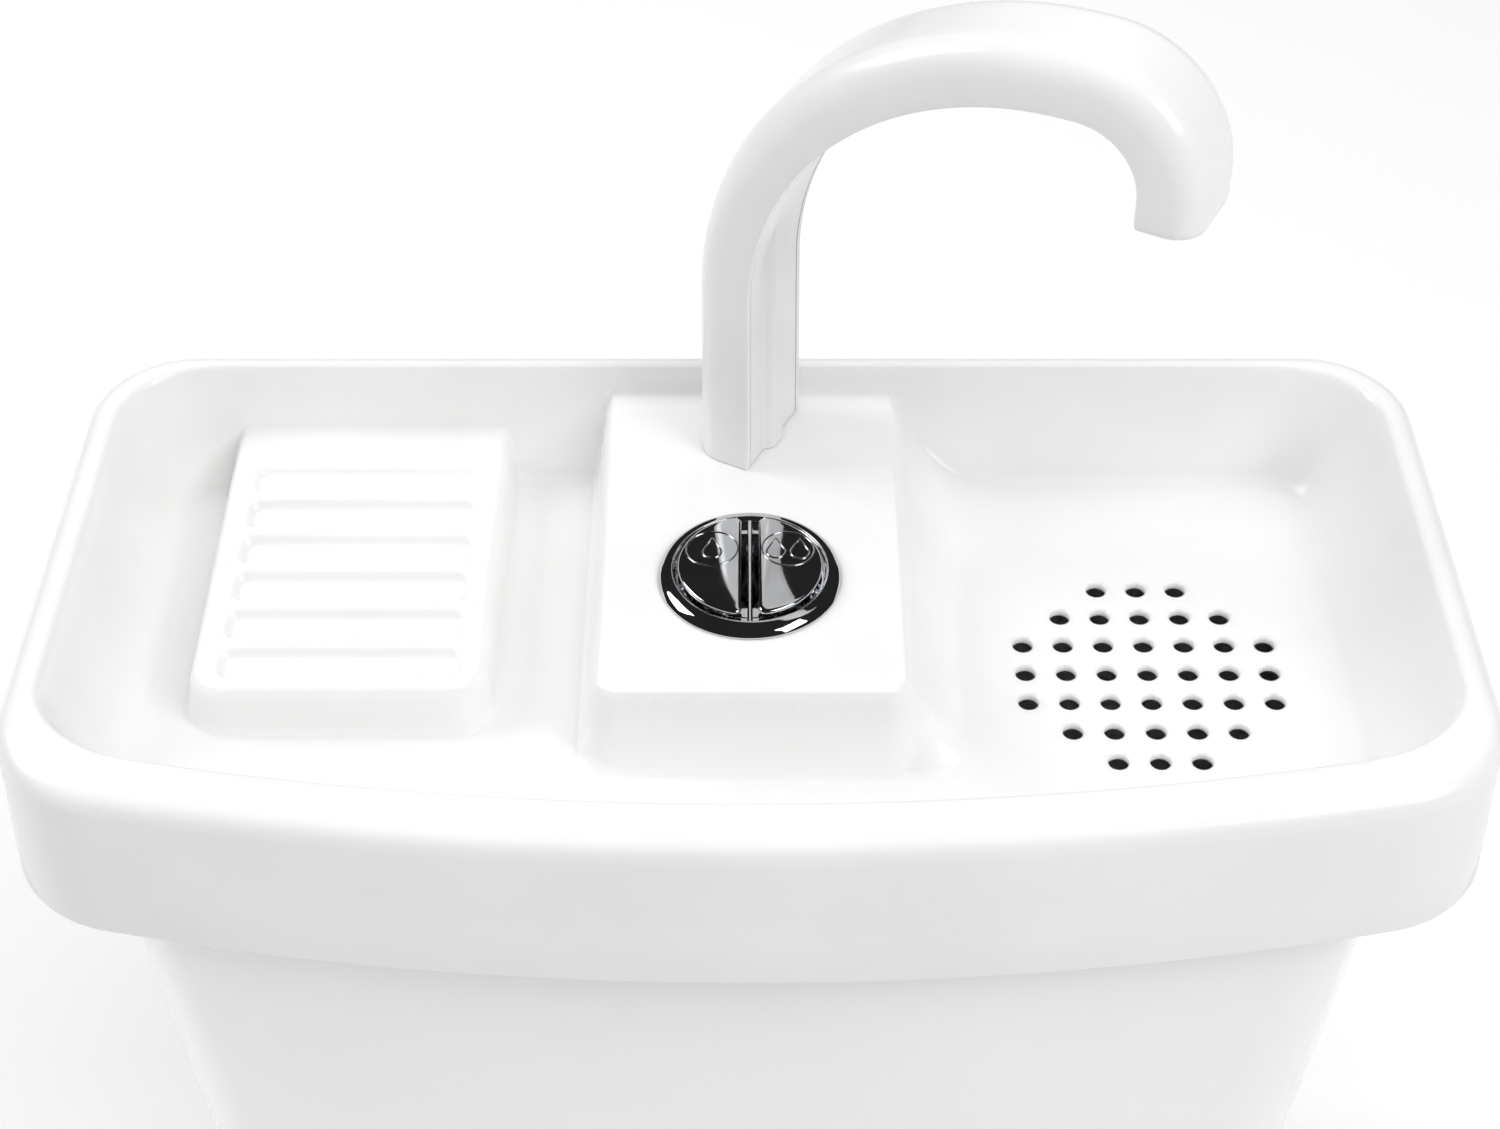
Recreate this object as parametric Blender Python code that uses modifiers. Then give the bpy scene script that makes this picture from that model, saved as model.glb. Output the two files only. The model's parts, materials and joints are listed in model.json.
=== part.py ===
"""Hand-wash sink that takes the place of a toilet cistern's lid, on its cistern, with the flush and fill valves.

Metres, +Z up, +X to the user's right and +Y to the wall. The origin is under the middle of the object, at the
level of the outlet gasket's lower face, which seats on the toilet bowl.
"""

import math

import bmesh
import bpy
from mathutils import Matrix, Vector

GAP = 0.0003  # left between pieces that touch

# Sink: outline of the skirt, then heights
HALF_WIDTH = 0.2190
HALF_WIDTH_BACK = 0.2160
FRONT = -0.11275
BACK = 0.11275
BOW_RADIUS = 0.915
FRONT_CORNER = 0.040
BACK_CORNER = 0.034
WALL = 0.003
SKIRT_BOTTOM = 0.3285
FLOOR_TOP = 0.343
PEDESTAL_TOP = 0.373
RIM_TOP = 0.383
SKIRT_DRAFT = 0.0015
RIM_ROUND = 0.0065
BOW_STEPS = 6
CORNER_STEPS = 5

# Places of the fittings in plan
BUTTON = Vector((0.0, 0.01125))
DRAIN = Vector((0.124, 0.0))
SPOUT = Vector((-0.0013, 0.0820))
SPOUT_TURN = math.radians(-27.9)  # the arm's heading, from +X
OUTLET = Vector((0.0, -0.016))
FILL = Vector((-0.120, 0.005))
BOLT_X = 0.075
ROD = Vector((0.0102, 0.017))  # right one of the two push rods

# Drain grid
HOLE_PITCH = 0.0127
HOLE_RADIUS = 0.0033
HOLE_ROWS = (3, 5, 7, 7, 7, 5, 3)

# Soap dish: raised block in plan, and its pockets
SOAP_LEFT = -0.170
SOAP_RIGHT = -0.0805
SOAP_FRONT = -0.026
SOAP_TOP = 0.360
POCKET_COUNT = 6
POCKET_PITCH = 0.0172
POCKET_LENGTH = 0.0125  # along Y
POCKET_DEPTH = 0.002
POCKET_EDGE = 0.0075  # from the block's sides to the pockets

# Tank
TANK_BOTTOM = 0.038
TANK_TOP = 0.340
TANK_WALL = 0.009
TANK_FLOOR = 0.048  # top of the tank's floor

# Flush valve
PIVOT_Y = 0.0085
PIVOT_Z = 0.285
LEVER_TILT = math.radians(13.5)
LEVER_LONG = 0.0205
LEVER_SHORT = 0.0085
LEVER_THICK = 0.006
CAGE_TOP = 0.250

# Fill valve
LINK_X = -0.146
FLOAT_PIVOT = Vector((-0.112, 0.304))  # x and z
FLOAT_TILT = math.radians(10.2)

BUTTON_LOW = PEDESTAL_TOP + 0.0041  # underside of the two push buttons

# Spout: section and path
SPOUT_HALF_WIDTH = 0.01655  # at the tip
SPOUT_THICK = 0.0181
SPOUT_CORNER = 0.0088
SPOUT_WALL = 0.0022
SPOUT_FOOT_SCALE = 1.11  # the section grows to this at the foot
SHOULDER_Z = 0.4364
SHOULDER_RADIUS = 0.1075
CURL_RADIUS = 0.0284
CREST_RUN = 0.0022
TIP_DROP = 0.0100

parts = bpy.data.collections.new("handwash_sink")
cutters = bpy.data.collections.new("cutters")


# Scene and objects


def clear_scene():
    for obj in list(bpy.data.objects):
        bpy.data.objects.remove(obj)
    bpy.context.scene.collection.children.link(parts)
    bpy.context.scene.collection.children.link(cutters)


def material(name, colour, roughness, metallic=0.0):
    made = bpy.data.materials.new(name)
    made.use_nodes = True
    shader = made.node_tree.nodes["Principled BSDF"]
    shader.inputs["Base Color"].default_value = (*colour, 1.0)
    shader.inputs["Roughness"].default_value = roughness
    shader.inputs["Metallic"].default_value = metallic
    return made


WHITE_PLASTIC = material("white_plastic", (0.88, 0.88, 0.87), 0.25)
GLAZE = material("glazed_ceramic", (0.90, 0.90, 0.89), 0.10)
CHROME = material("chrome", (0.85, 0.86, 0.88), 0.05, 1.0)
VALVE_PLASTIC = material("valve_plastic", (0.80, 0.82, 0.84), 0.45)
BLUE_PLASTIC = material("blue_plastic", (0.08, 0.22, 0.50), 0.40)
BLACK_RUBBER = material("black_rubber", (0.03, 0.03, 0.03), 0.80)
SPONGE = material("sponge_rubber", (0.06, 0.06, 0.065), 0.95)
STEEL = material("spring_steel", (0.62, 0.63, 0.65), 0.25, 1.0)
BRASS = material("brass", (0.76, 0.58, 0.27), 0.30, 1.0)
HOSE = material("clear_hose", (0.82, 0.86, 0.86), 0.30)


def finish(obj, name, surface, smooth=True):
    """Names a part, gives it its material and puts it in the parts' collection."""
    for collection in list(obj.users_collection):
        collection.objects.unlink(obj)
    parts.objects.link(obj)
    obj.name = name
    obj.data.name = name
    obj.data.materials.clear()
    obj.data.materials.append(surface)
    if smooth and obj.type == "MESH":
        obj.data.shade_smooth()
        obj.data.set_sharp_from_angle(angle=math.radians(35))
    return obj


def as_cutter(obj, name):
    for collection in list(obj.users_collection):
        collection.objects.unlink(obj)
    cutters.objects.link(obj)
    obj.name = name
    obj.hide_render = True
    obj.display_type = "WIRE"
    return obj


def object_from(bm, name):
    bmesh.ops.recalc_face_normals(bm, faces=bm.faces)
    mesh = bpy.data.meshes.new(name)
    bm.to_mesh(mesh)
    bm.free()
    obj = bpy.data.objects.new(name, mesh)
    bpy.context.scene.collection.objects.link(obj)
    return obj


def combine(obj, other, operation):
    modifier = obj.modifiers.new(operation.lower(), "BOOLEAN")
    modifier.operation = operation
    modifier.solver = "EXACT"
    modifier.object = other


def cut(obj, *others):
    for other in others:
        as_cutter(other, other.name)
        combine(obj, other, "DIFFERENCE")


def join(obj, *others):
    for other in others:
        as_cutter(other, other.name)
        combine(obj, other, "UNION")


def bevel(obj, width, segments=2, angle=30):
    modifier = obj.modifiers.new("bevel", "BEVEL")
    modifier.width = width
    modifier.segments = segments
    modifier.limit_method = "ANGLE"
    modifier.angle_limit = math.radians(angle)


# Shapes


def box(low, high, name="box"):
    """Box between two corners."""
    low, high = Vector(low), Vector(high)
    bm = bmesh.new()
    bmesh.ops.create_cube(bm, size=1.0)
    bmesh.ops.scale(bm, vec=high - low, verts=bm.verts)
    bmesh.ops.translate(bm, vec=(low + high) / 2, verts=bm.verts)
    return object_from(bm, name)


def cylinder(centre, radius, low, high, sides=24, name="cylinder"):
    """Upright cylinder, prism or hexagon about centre (x, y)."""
    bm = bmesh.new()
    bmesh.ops.create_cone(
        bm, cap_ends=True, segments=sides, radius1=radius, radius2=radius, depth=high - low
    )
    bmesh.ops.translate(bm, vec=(centre[0], centre[1], (low + high) / 2), verts=bm.verts)
    return object_from(bm, name)


def rod_between(start, end, radius, sides=16, name="rod"):
    """Cylinder from one point to another."""
    start, end = Vector(start), Vector(end)
    bm = bmesh.new()
    bmesh.ops.create_cone(
        bm,
        cap_ends=True,
        segments=sides,
        radius1=radius,
        radius2=radius,
        depth=(end - start).length,
    )
    turn = (end - start).to_track_quat("Z", "Y").to_matrix().to_4x4()
    bmesh.ops.transform(bm, matrix=Matrix.Translation((start + end) / 2) @ turn, verts=bm.verts)
    return object_from(bm, name)


def turned(centre, profile, steps=32, closed=True, name="turned"):
    """Profile of (radius, height) turned about an upright axis. It runs down its outer side first.

    A closed profile makes a ring. An open one starts and ends on the axis.
    """
    mesh = bpy.data.meshes.new(name)
    points = [(radius, 0.0, height) for radius, height in profile]
    edges = [(i, i + 1) for i in range(len(points) - 1)]
    if closed:
        edges.append((len(points) - 1, 0))
    mesh.from_pydata(points, edges, [])
    obj = bpy.data.objects.new(name, mesh)
    bpy.context.scene.collection.objects.link(obj)
    obj.location = (centre[0], centre[1], 0)
    screw = obj.modifiers.new("turn", "SCREW")
    screw.steps = steps
    screw.render_steps = steps
    screw.use_merge_vertices = True
    screw.merge_threshold = 0.00002
    return obj


def ring(centre, inner, outer, low, high, steps=32, name="ring"):
    profile = [(outer, high), (outer, low), (inner, low), (inner, high)]
    return turned(centre, profile, steps, name=name)


def loft(rings, name="loft"):
    """Closed solid through rings of as many points each, given from the bottom up as (points, height)."""
    bm = bmesh.new()
    rows = [[bm.verts.new((x, y, height)) for x, y in points] for points, height in rings]
    for lower, upper in zip(rows, rows[1:]):
        for i in range(len(lower)):
            j = (i + 1) % len(lower)
            bm.faces.new((lower[i], lower[j], upper[j], upper[i]))
    bm.faces.new(list(reversed(rows[0])))
    bm.faces.new(rows[-1])
    return object_from(bm, name)


def bowed_outline(half_front, half_back, front, back, bow_radius, front_corner, back_corner):
    """Plan of the sink or the tank: straight back, near-parallel sides and a front bowed to a radius."""
    reach = bow_radius - front_corner
    corner_x = half_front - front_corner
    corner_y = front + bow_radius - math.sqrt(reach**2 - corner_x**2)
    swing = math.asin(corner_x / reach)
    right = []
    for i in range(BOW_STEPS):
        angle = swing * i / BOW_STEPS
        right.append((bow_radius * math.sin(angle), front + bow_radius * (1 - math.cos(angle))))
    for i in range(CORNER_STEPS + 1):
        angle = swing + (math.pi / 2 - swing) * i / CORNER_STEPS
        right.append(
            (corner_x + front_corner * math.sin(angle), corner_y - front_corner * math.cos(angle))
        )
    for i in range(CORNER_STEPS + 1):
        angle = math.pi / 2 * i / CORNER_STEPS
        right.append(
            (
                half_back - back_corner * (1 - math.cos(angle)),
                back - back_corner * (1 - math.sin(angle)),
            )
        )
    left = [(-x, y) for x, y in reversed(right[1:])]
    return right + left


def sink_outline(side, back=None, front=None):
    """The skirt's outline, moved inwards."""
    back = side if back is None else back
    front = side if front is None else front
    least_corner = 0.012
    return bowed_outline(
        HALF_WIDTH - side,
        HALF_WIDTH_BACK - side,
        FRONT + front,
        BACK - back,
        BOW_RADIUS - front,
        max(FRONT_CORNER - side, least_corner),
        max(BACK_CORNER - side, least_corner),
    )


def arc(start, end, steps):
    """Angles from start to end, in degrees, as radians."""
    return [math.radians(start + (end - start) * i / steps) for i in range(steps + 1)]


# Sink


def sink_outside():
    """The skirt and the rim's outer rounding, as a block."""
    centre = SKIRT_DRAFT + RIM_ROUND
    rings = [(sink_outline(0.0), SKIRT_BOTTOM)]
    for angle in arc(0, 90, 4):
        inset = centre - RIM_ROUND * math.cos(angle)
        rings.append((sink_outline(inset), RIM_TOP - RIM_ROUND * (1 - math.sin(angle))))
    return loft(rings, "sink_outside")


def bowl_rings(grow):
    """The bowl's inside from the floor up, or its underside with grow set to the wall."""
    levels = [
        # rise from the floor, then how far in from the skirt at the sides, the back and the front
        (0.0000, 0.0360, 0.0260, 0.0330),
        (0.0020, 0.0315, 0.0215, 0.0290),
        (0.0070, 0.0270, 0.0178, 0.0265),
        (0.0220, 0.0185, 0.0130, 0.0240),
        (0.0365, 0.0133, 0.0105, 0.0222),
        (0.0388, 0.0121, 0.0099, 0.0212),
        (0.0400, 0.0105, 0.0088, 0.0195),
    ]
    rings = [
        (sink_outline(side - grow, back - grow, front - grow), FLOOR_TOP + rise - grow)
        for rise, side, back, front in levels
    ]
    rings.append((rings[-1][0], RIM_TOP + 0.007))
    return rings


def rectangle(left, right, front, back, corner=0.004, steps=3):
    points = []
    for centre_x, centre_y, start in (
        (right - corner, front + corner, -90),
        (right - corner, back - corner, 0),
        (left + corner, back - corner, 90),
        (left + corner, front + corner, 180),
    ):
        for angle in arc(start, start + 90, steps):
            points.append((centre_x + corner * math.cos(angle), centre_y + corner * math.sin(angle)))
    return points


def pedestal(shrink, back, bottom):
    """Raised block under the buttons and the spout. Its right wall sweeps out to the drain's floor."""
    levels = [
        (bottom, -0.0530, 0.0760, -0.0445),
        (FLOOR_TOP, -0.0530, 0.0760, -0.0445),
        (FLOOR_TOP + 0.006, -0.0505, 0.0620, -0.0425),
        (FLOOR_TOP + 0.016, -0.0490, 0.0540, -0.0412),
        (PEDESTAL_TOP - 0.0025, -0.0470, 0.0480, -0.0398),
        (PEDESTAL_TOP - 0.0007, -0.0463, 0.0473, -0.0390),
        (PEDESTAL_TOP, -0.0445, 0.0455, -0.0375),
    ]
    rings = []
    for height, left, right, front in levels:
        outline = rectangle(left + shrink, right - shrink, front + shrink, back)
        rings.append((outline, height if height == bottom else height - shrink))
    return loft(rings, "pedestal")


def soap_block(shrink, top, back, bottom):
    """Raised soap dish, which runs into the bowl's back wall."""
    levels = [
        (bottom, 0.0030),
        (FLOOR_TOP + 0.0015 - shrink, 0.0030),
        (FLOOR_TOP + 0.006 - shrink, 0.0015),
        (top - 0.003, 0.0005),
        (top - 0.001, -0.0002),
        (top, -0.0025),
    ]
    rings = []
    for height, spread in levels:
        grow = spread - shrink
        outline = rectangle(SOAP_LEFT - grow, SOAP_RIGHT + grow, SOAP_FRONT - grow, back, 0.009)
        rings.append((outline, height))
    return loft(rings, "soap_block")


def soap_pocket(number):
    front = SOAP_FRONT + 0.0055 + POCKET_PITCH * number
    pocket = rectangle(SOAP_LEFT + POCKET_EDGE, SOAP_RIGHT - POCKET_EDGE, front, front + POCKET_LENGTH, 0.0045)
    return loft([(pocket, SOAP_TOP - POCKET_DEPTH), (pocket, SOAP_TOP + 0.005)], f"soap_pocket_{number}")


def support_ribs():
    """Ribs between the bowl and the skirt, which carry the sink on the tank's rim. Each is left by the cutter."""
    low, high, half = 0.3420, 0.390, 0.0015
    places = []
    for side in (-1, 1):
        for y in (-0.045, 0.005, 0.060):
            places.append(((side * 0.2 - 0.025, y - half, low), (side * 0.2 + 0.025, y + half, high)))
    for x in (-0.12, 0.0, 0.12):
        places.append(((x - half, -0.125, low), (x + half, -0.078, high)))
    for x in (-0.12, 0.105):
        places.append(((x - half, 0.085, low), (x + half, 0.125, high)))
    return [box(a, b, "support_rib") for a, b in places]


def drain_holes():
    bm = bmesh.new()
    for row, count in enumerate(HOLE_ROWS):
        for i in range(count):
            x = DRAIN.x + (i - (count - 1) / 2) * HOLE_PITCH
            y = DRAIN.y + (row - (len(HOLE_ROWS) - 1) / 2) * HOLE_PITCH
            bmesh.ops.create_cone(
                bm,
                cap_ends=True,
                segments=8,
                radius1=HOLE_RADIUS,
                radius2=HOLE_RADIUS,
                depth=0.02,
                matrix=Matrix.Translation((x, y, FLOOR_TOP)),
            )
    return object_from(bm, "drain_holes")


def make_sink_basin():
    beyond = 0.125  # past the back wall
    bowl = loft(bowl_rings(0.0), "bowl")
    cut(bowl, pedestal(0.0, beyond, 0.335), soap_block(0.0, SOAP_TOP, beyond, 0.335))

    centre = SKIRT_DRAFT + RIM_ROUND
    inner_round = RIM_ROUND - WALL
    rings = [(sink_outline(WALL), SKIRT_BOTTOM - 0.01)]
    for angle in arc(0, 90, 4):
        inset = centre - inner_round * math.cos(angle)
        rings.append((sink_outline(inset), RIM_TOP - RIM_ROUND + inner_round * math.sin(angle)))
    underside = loft(rings, "underside")
    cut(underside, loft(bowl_rings(WALL), "bowl_underside"), *support_ribs())

    basin = sink_outside()
    cut(basin, bowl, underside)
    cut(basin, pedestal(WALL, 0.105, 0.330), soap_block(WALL, SOAP_TOP - 0.005, 0.0845, 0.330))
    for number in range(POCKET_COUNT):
        cut(basin, soap_pocket(number))
    cut(basin, drain_holes())
    cut(basin, cylinder(BUTTON, 0.020, 0.36, 0.38, 32, "button_hole"))
    cut(basin, cylinder(SPOUT, 0.0105, 0.36, 0.38, 24, "spout_hole"))
    finish(basin, "sink_basin", WHITE_PLASTIC, smooth=False)

    for side_name, x in (("left", -0.1932), ("right", 0.1932)):
        for end_name, y in (("front", -0.045), ("back", 0.060)):
            pad = box((x - 0.0026, y - 0.010, TANK_TOP + GAP), (x + 0.0026, y + 0.010, 0.3417))
            finish(pad, f"rest_pad_{side_name}_{end_name}", BLACK_RUBBER, smooth=False)


# Push buttons


def make_button_housing():
    """Chrome bezel with a threaded barrel through the pedestal, its washer and its nut."""
    top = PEDESTAL_TOP + GAP
    profile = [
        (0.0240, top + 0.0032),
        (0.0268, top + 0.0026),
        (0.0285, top + 0.0010),
        (0.0285, top),
        (0.0190, top),
        (0.0190, 0.3450),
        (0.0165, 0.3450),
        (0.0165, top + 0.0006),
        (0.0227, top + 0.0006),
        (0.0227, top + 0.0028),
    ]
    bezel = turned(BUTTON, profile, 32)
    join(bezel, cylinder(BUTTON, 0.0174, 0.3560, 0.3575, 24, "shelf"))
    low, high = (-0.0008, BUTTON.y - 0.0232, 0.3736), (0.0008, BUTTON.y + 0.0232, top + 0.0024)
    join(bezel, box(low, high, "divider"))
    for side in (-1, 1):
        cut(bezel, cylinder((side * ROD.x, ROD.y), 0.0030, 0.350, 0.362, 16, "stem_guide"))
    finish(bezel, "button_bezel", CHROME)

    under = PEDESTAL_TOP - WALL
    washer = ring(BUTTON, 0.0194, 0.0260, under - GAP - 0.002, under - GAP, 20)
    finish(washer, "button_washer", BLACK_RUBBER)
    nut_top = under - 2 * GAP - 0.002
    nut = cylinder(BUTTON, 0.0275, nut_top - 0.008, nut_top, 8, "nut")
    cut(nut, cylinder(BUTTON, 0.0194, 0.340, 0.372, 24, "nut_bore"))
    finish(nut, "button_nut", VALVE_PLASTIC, smooth=False)


def half_disc(radius, gap, side, low, high, name):
    """Half of a round plate, on one side of a slot along Y."""
    plate = cylinder(BUTTON, radius, low, high, 32, name)
    near = BUTTON.x + side * gap / 2
    far = near - side * 2 * radius
    cut(
        plate,
        box(
            (min(near, far), BUTTON.y - 2 * radius, low - 0.01),
            (max(near, far), BUTTON.y + 2 * radius, high + 0.01),
            "half_plate_cutter",
        ),
    )
    return plate


def make_button(side, name):
    """Half-moon button with its stem, and the adjustable rod that reaches down to the flush lever."""
    low = BUTTON_LOW
    plate = half_disc(0.0222, 0.0048, side, low, low + 0.0013, f"{name}_plate")
    bevel(plate, 0.0005, 1)
    stem_at = (side * ROD.x, ROD.y)
    join(plate, cylinder(stem_at, 0.0026, 0.3500, low + 0.0008, 12, f"{name}_stem"))
    finish(plate, f"{name}_flush_button", CHROME)

    rod = cylinder(stem_at, 0.0020, 0.2915, 0.3500 - GAP, 12, f"{name}_rod")
    join(rod, cylinder(stem_at, 0.0026, 0.2910, 0.2945, 12, f"{name}_rod_tip"))
    finish(rod, f"{name}_push_rod", VALVE_PLASTIC)


def make_button_spring(side, name):
    """Coil that returns a button, between the barrel's shelf and the button."""
    turns, points_a_turn, coil_radius, wire = 4, 8, 0.0038, 0.00035
    low, high = 0.3575 + GAP + wire, BUTTON_LOW - GAP - wire
    curve = bpy.data.curves.new(name, "CURVE")
    curve.dimensions = "3D"
    curve.bevel_depth = wire
    curve.bevel_resolution = 0
    curve.use_fill_caps = True
    spline = curve.splines.new("POLY")
    count = turns * points_a_turn + 1
    spline.points.add(count - 1)
    for i in range(count):
        angle = 2 * math.pi * i / points_a_turn
        height = low + (high - low) * i / (count - 1)
        x = side * ROD.x + coil_radius * math.cos(angle)
        y = ROD.y + coil_radius * math.sin(angle)
        spline.points[i].co = (x, y, height, 1)
    obj = bpy.data.objects.new(name, curve)
    bpy.context.scene.collection.objects.link(obj)
    finish(obj, name, STEEL)


# Spout


def spout_axes():
    along = Vector((math.cos(SPOUT_TURN), math.sin(SPOUT_TURN), 0))
    across = Vector((-math.sin(SPOUT_TURN), math.cos(SPOUT_TURN), 0))
    return along, across


def spout_path(start_z, tip_drop, shoulder_steps=10, curl_steps=6):
    """Middle line of the spout as (reach, height, heading), the heading as an angle above the arm's reach."""
    path = [(0.0, start_z, math.pi / 2)]
    centre = SHOULDER_RADIUS
    for i in range(shoulder_steps + 1):
        angle = math.pi / 2 * i / shoulder_steps
        path.append(
            (
                centre - SHOULDER_RADIUS * math.cos(angle),
                SHOULDER_Z + SHOULDER_RADIUS * math.sin(angle),
                math.pi / 2 - angle,
            )
        )
    crest = SHOULDER_Z + SHOULDER_RADIUS
    centre = SHOULDER_RADIUS + CREST_RUN
    for i in range(curl_steps + 1):
        angle = math.pi / 2 * i / curl_steps
        path.append(
            (
                centre + CURL_RADIUS * math.sin(angle),
                crest - CURL_RADIUS * (1 - math.cos(angle)),
                -angle,
            )
        )
    reach, height, heading = path[-1]
    path.append((reach, height - tip_drop, heading))
    return path


def taper(path):
    """Scale of the section at each point of the path, from the foot's down to one at the tip."""
    run = [0.0]
    for (reach, height, _), (next_reach, next_height, _) in zip(path, path[1:]):
        run.append(run[-1] + math.hypot(next_reach - reach, next_height - height))
    return [1 + (SPOUT_FOOT_SCALE - 1) * (1 - length / run[-1]) for length in run]


def swept(section, path, name, scales=None):
    """Section of (across, outwards) points swept along the spout's path, as one closed solid."""
    along, across = spout_axes()
    base = Vector((SPOUT.x, SPOUT.y, 0))
    bm = bmesh.new()
    rows = []
    for (reach, height, heading), scale in zip(path, scales or [1.0] * len(path)):
        outwards = -along * math.sin(heading) + Vector((0, 0, math.cos(heading)))
        middle = base + along * reach + Vector((0, 0, height))
        rows.append([bm.verts.new(middle + (across * a + outwards * b) * scale) for a, b in section])
    for first, second in zip(rows, rows[1:]):
        for i in range(len(first)):
            j = (i + 1) % len(first)
            bm.faces.new((first[i], first[j], second[j], second[i]))
    bm.faces.new(rows[0])
    bm.faces.new(rows[-1])
    return object_from(bm, name)


def channel_section():
    """The shell's section: flat sides, rounded outer corners and open on the arm's inner side."""
    half, half_thick, corner = SPOUT_HALF_WIDTH, SPOUT_THICK / 2, SPOUT_CORNER
    outer = [(-half, -half_thick)]
    for angle in arc(180, 90, 3):
        outer.append((-half + corner + corner * math.cos(angle), half_thick - corner + corner * math.sin(angle)))
    for angle in arc(90, 0, 3):
        outer.append((half - corner + corner * math.cos(angle), half_thick - corner + corner * math.sin(angle)))
    outer.append((half, -half_thick))
    inner = []
    for a, b in reversed(outer):
        centre_a = math.copysign(half - corner, a)
        centre_b = half_thick - corner
        if b > centre_b - 1e-9:
            share = (corner - SPOUT_WALL) / corner
            inner.append((centre_a + (a - centre_a) * share, centre_b + (b - centre_b) * share))
        else:
            inner.append((math.copysign(half - SPOUT_WALL, a), b))
    return outer + inner


def round_section(radius, outwards, sides=12):
    return [
        (radius * math.cos(2 * math.pi * i / sides), outwards + radius * math.sin(2 * math.pi * i / sides))
        for i in range(sides)
    ]


def make_spout():
    """Curved shell, the cover that closes its inner side, the water tube in it, its outlet and its shank."""
    foot = PEDESTAL_TOP + GAP
    path = spout_path(foot, TIP_DROP)
    shell = swept(channel_section(), path, "shell", taper(path))
    finish(shell, "spout_shell", WHITE_PLASTIC)

    half = SPOUT_HALF_WIDTH - SPOUT_WALL - GAP
    low = -SPOUT_THICK / 2 + 0.0008
    cover_section = [(-half, low), (half, low), (half, low + 0.002), (-half, low + 0.002)]
    cover = swept(cover_section, path, "cover", taper(path))
    low *= SPOUT_FOOT_SCALE - 0.01
    ridge = [(-0.0080, low + 0.0004), (-0.0055, low - 0.0030), (0.0, low - 0.0040)]
    ridge += [(0.0055, low - 0.0030), (0.0080, low + 0.0004), (0.0, low + 0.001)]
    ridge_path = [(0.0, foot, math.pi / 2), (0.0, foot + 0.040, math.pi / 2), (0.0, foot + 0.068, math.pi / 2)]
    join(cover, swept(ridge, ridge_path, "ridge"))
    finish(cover, "spout_inner_cover", WHITE_PLASTIC, smooth=False)

    tube_path = spout_path(foot + 0.012, TIP_DROP - 0.0065)
    finish(swept(round_section(0.0035, 0.0005, 8), tube_path, "tube"), "spout_water_tube", HOSE)

    along, _ = spout_axes()
    reach = SHOULDER_RADIUS + CREST_RUN + CURL_RADIUS
    tip = Vector((SPOUT.x, SPOUT.y, 0)) + along * reach
    tip_z = SHOULDER_Z + SHOULDER_RADIUS - CURL_RADIUS - TIP_DROP
    outlet = ring(tip, 0.0025, 0.0042, tip_z - 0.0004, tip_z + 0.0060, 16)
    finish(outlet, "spout_outlet", VALVE_PLASTIC)

    make_spout_shank(foot)


def make_spout_shank(foot):
    """Foot plate in the post, threaded shank through the pedestal, barb for the hose, washer and nut."""
    plate_half, plate_thick = 0.0140, 0.0030
    along, across = spout_axes()
    section = [(-plate_half, -0.0040), (plate_half, -0.0040), (plate_half, 0.0020), (-plate_half, 0.0020)]
    plate_path = [(0.0, foot, math.pi / 2), (0.0, foot + plate_thick, math.pi / 2)]
    plate = swept(section, plate_path, "plate")
    profile = [
        (0.0030, foot + 0.0110),
        (0.0038, foot + 0.0110),
        (0.0038, PEDESTAL_TOP - 0.0005),
        (0.0098, PEDESTAL_TOP - 0.0005),
        (0.0098, 0.3500),
        (0.0045, 0.3500),
        (0.0045, 0.3360),
        (0.0030, 0.3360),
    ]
    shank = turned(SPOUT, profile, 20, name="shank")
    collar_bore = cylinder(SPOUT, 0.0034, foot - 0.002, foot + 0.006, 16, "plate_bore")
    cut(plate, collar_bore)
    join(shank, plate)
    finish(shank, "spout_shank", VALVE_PLASTIC, smooth=False)

    under = PEDESTAL_TOP - WALL
    washer = ring(SPOUT, 0.0102, 0.0150, under - GAP - 0.002, under - GAP, 20)
    finish(washer, "spout_washer", BLACK_RUBBER)
    nut_top = under - 2 * GAP - 0.002
    nut = cylinder(SPOUT, 0.0155, nut_top - 0.007, nut_top, 6, "nut")
    cut(nut, cylinder(SPOUT, 0.0102, 0.340, 0.372, 20, "nut_bore"))
    finish(nut, "spout_nut", VALVE_PLASTIC, smooth=False)


# Tank


def tank_outline(height, inset):
    """The tank's plan at a height: its sides and front taper inwards towards the bottom."""
    share = (height - TANK_BOTTOM) / (TANK_TOP - TANK_BOTTOM)
    half = 0.1665 + 0.0300 * share - inset
    front = -0.0860 - 0.0140 * share + inset
    return bowed_outline(half, half, front, 0.0980 - inset, 0.900 - inset, 0.038 - inset, 0.030 - inset)


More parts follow.
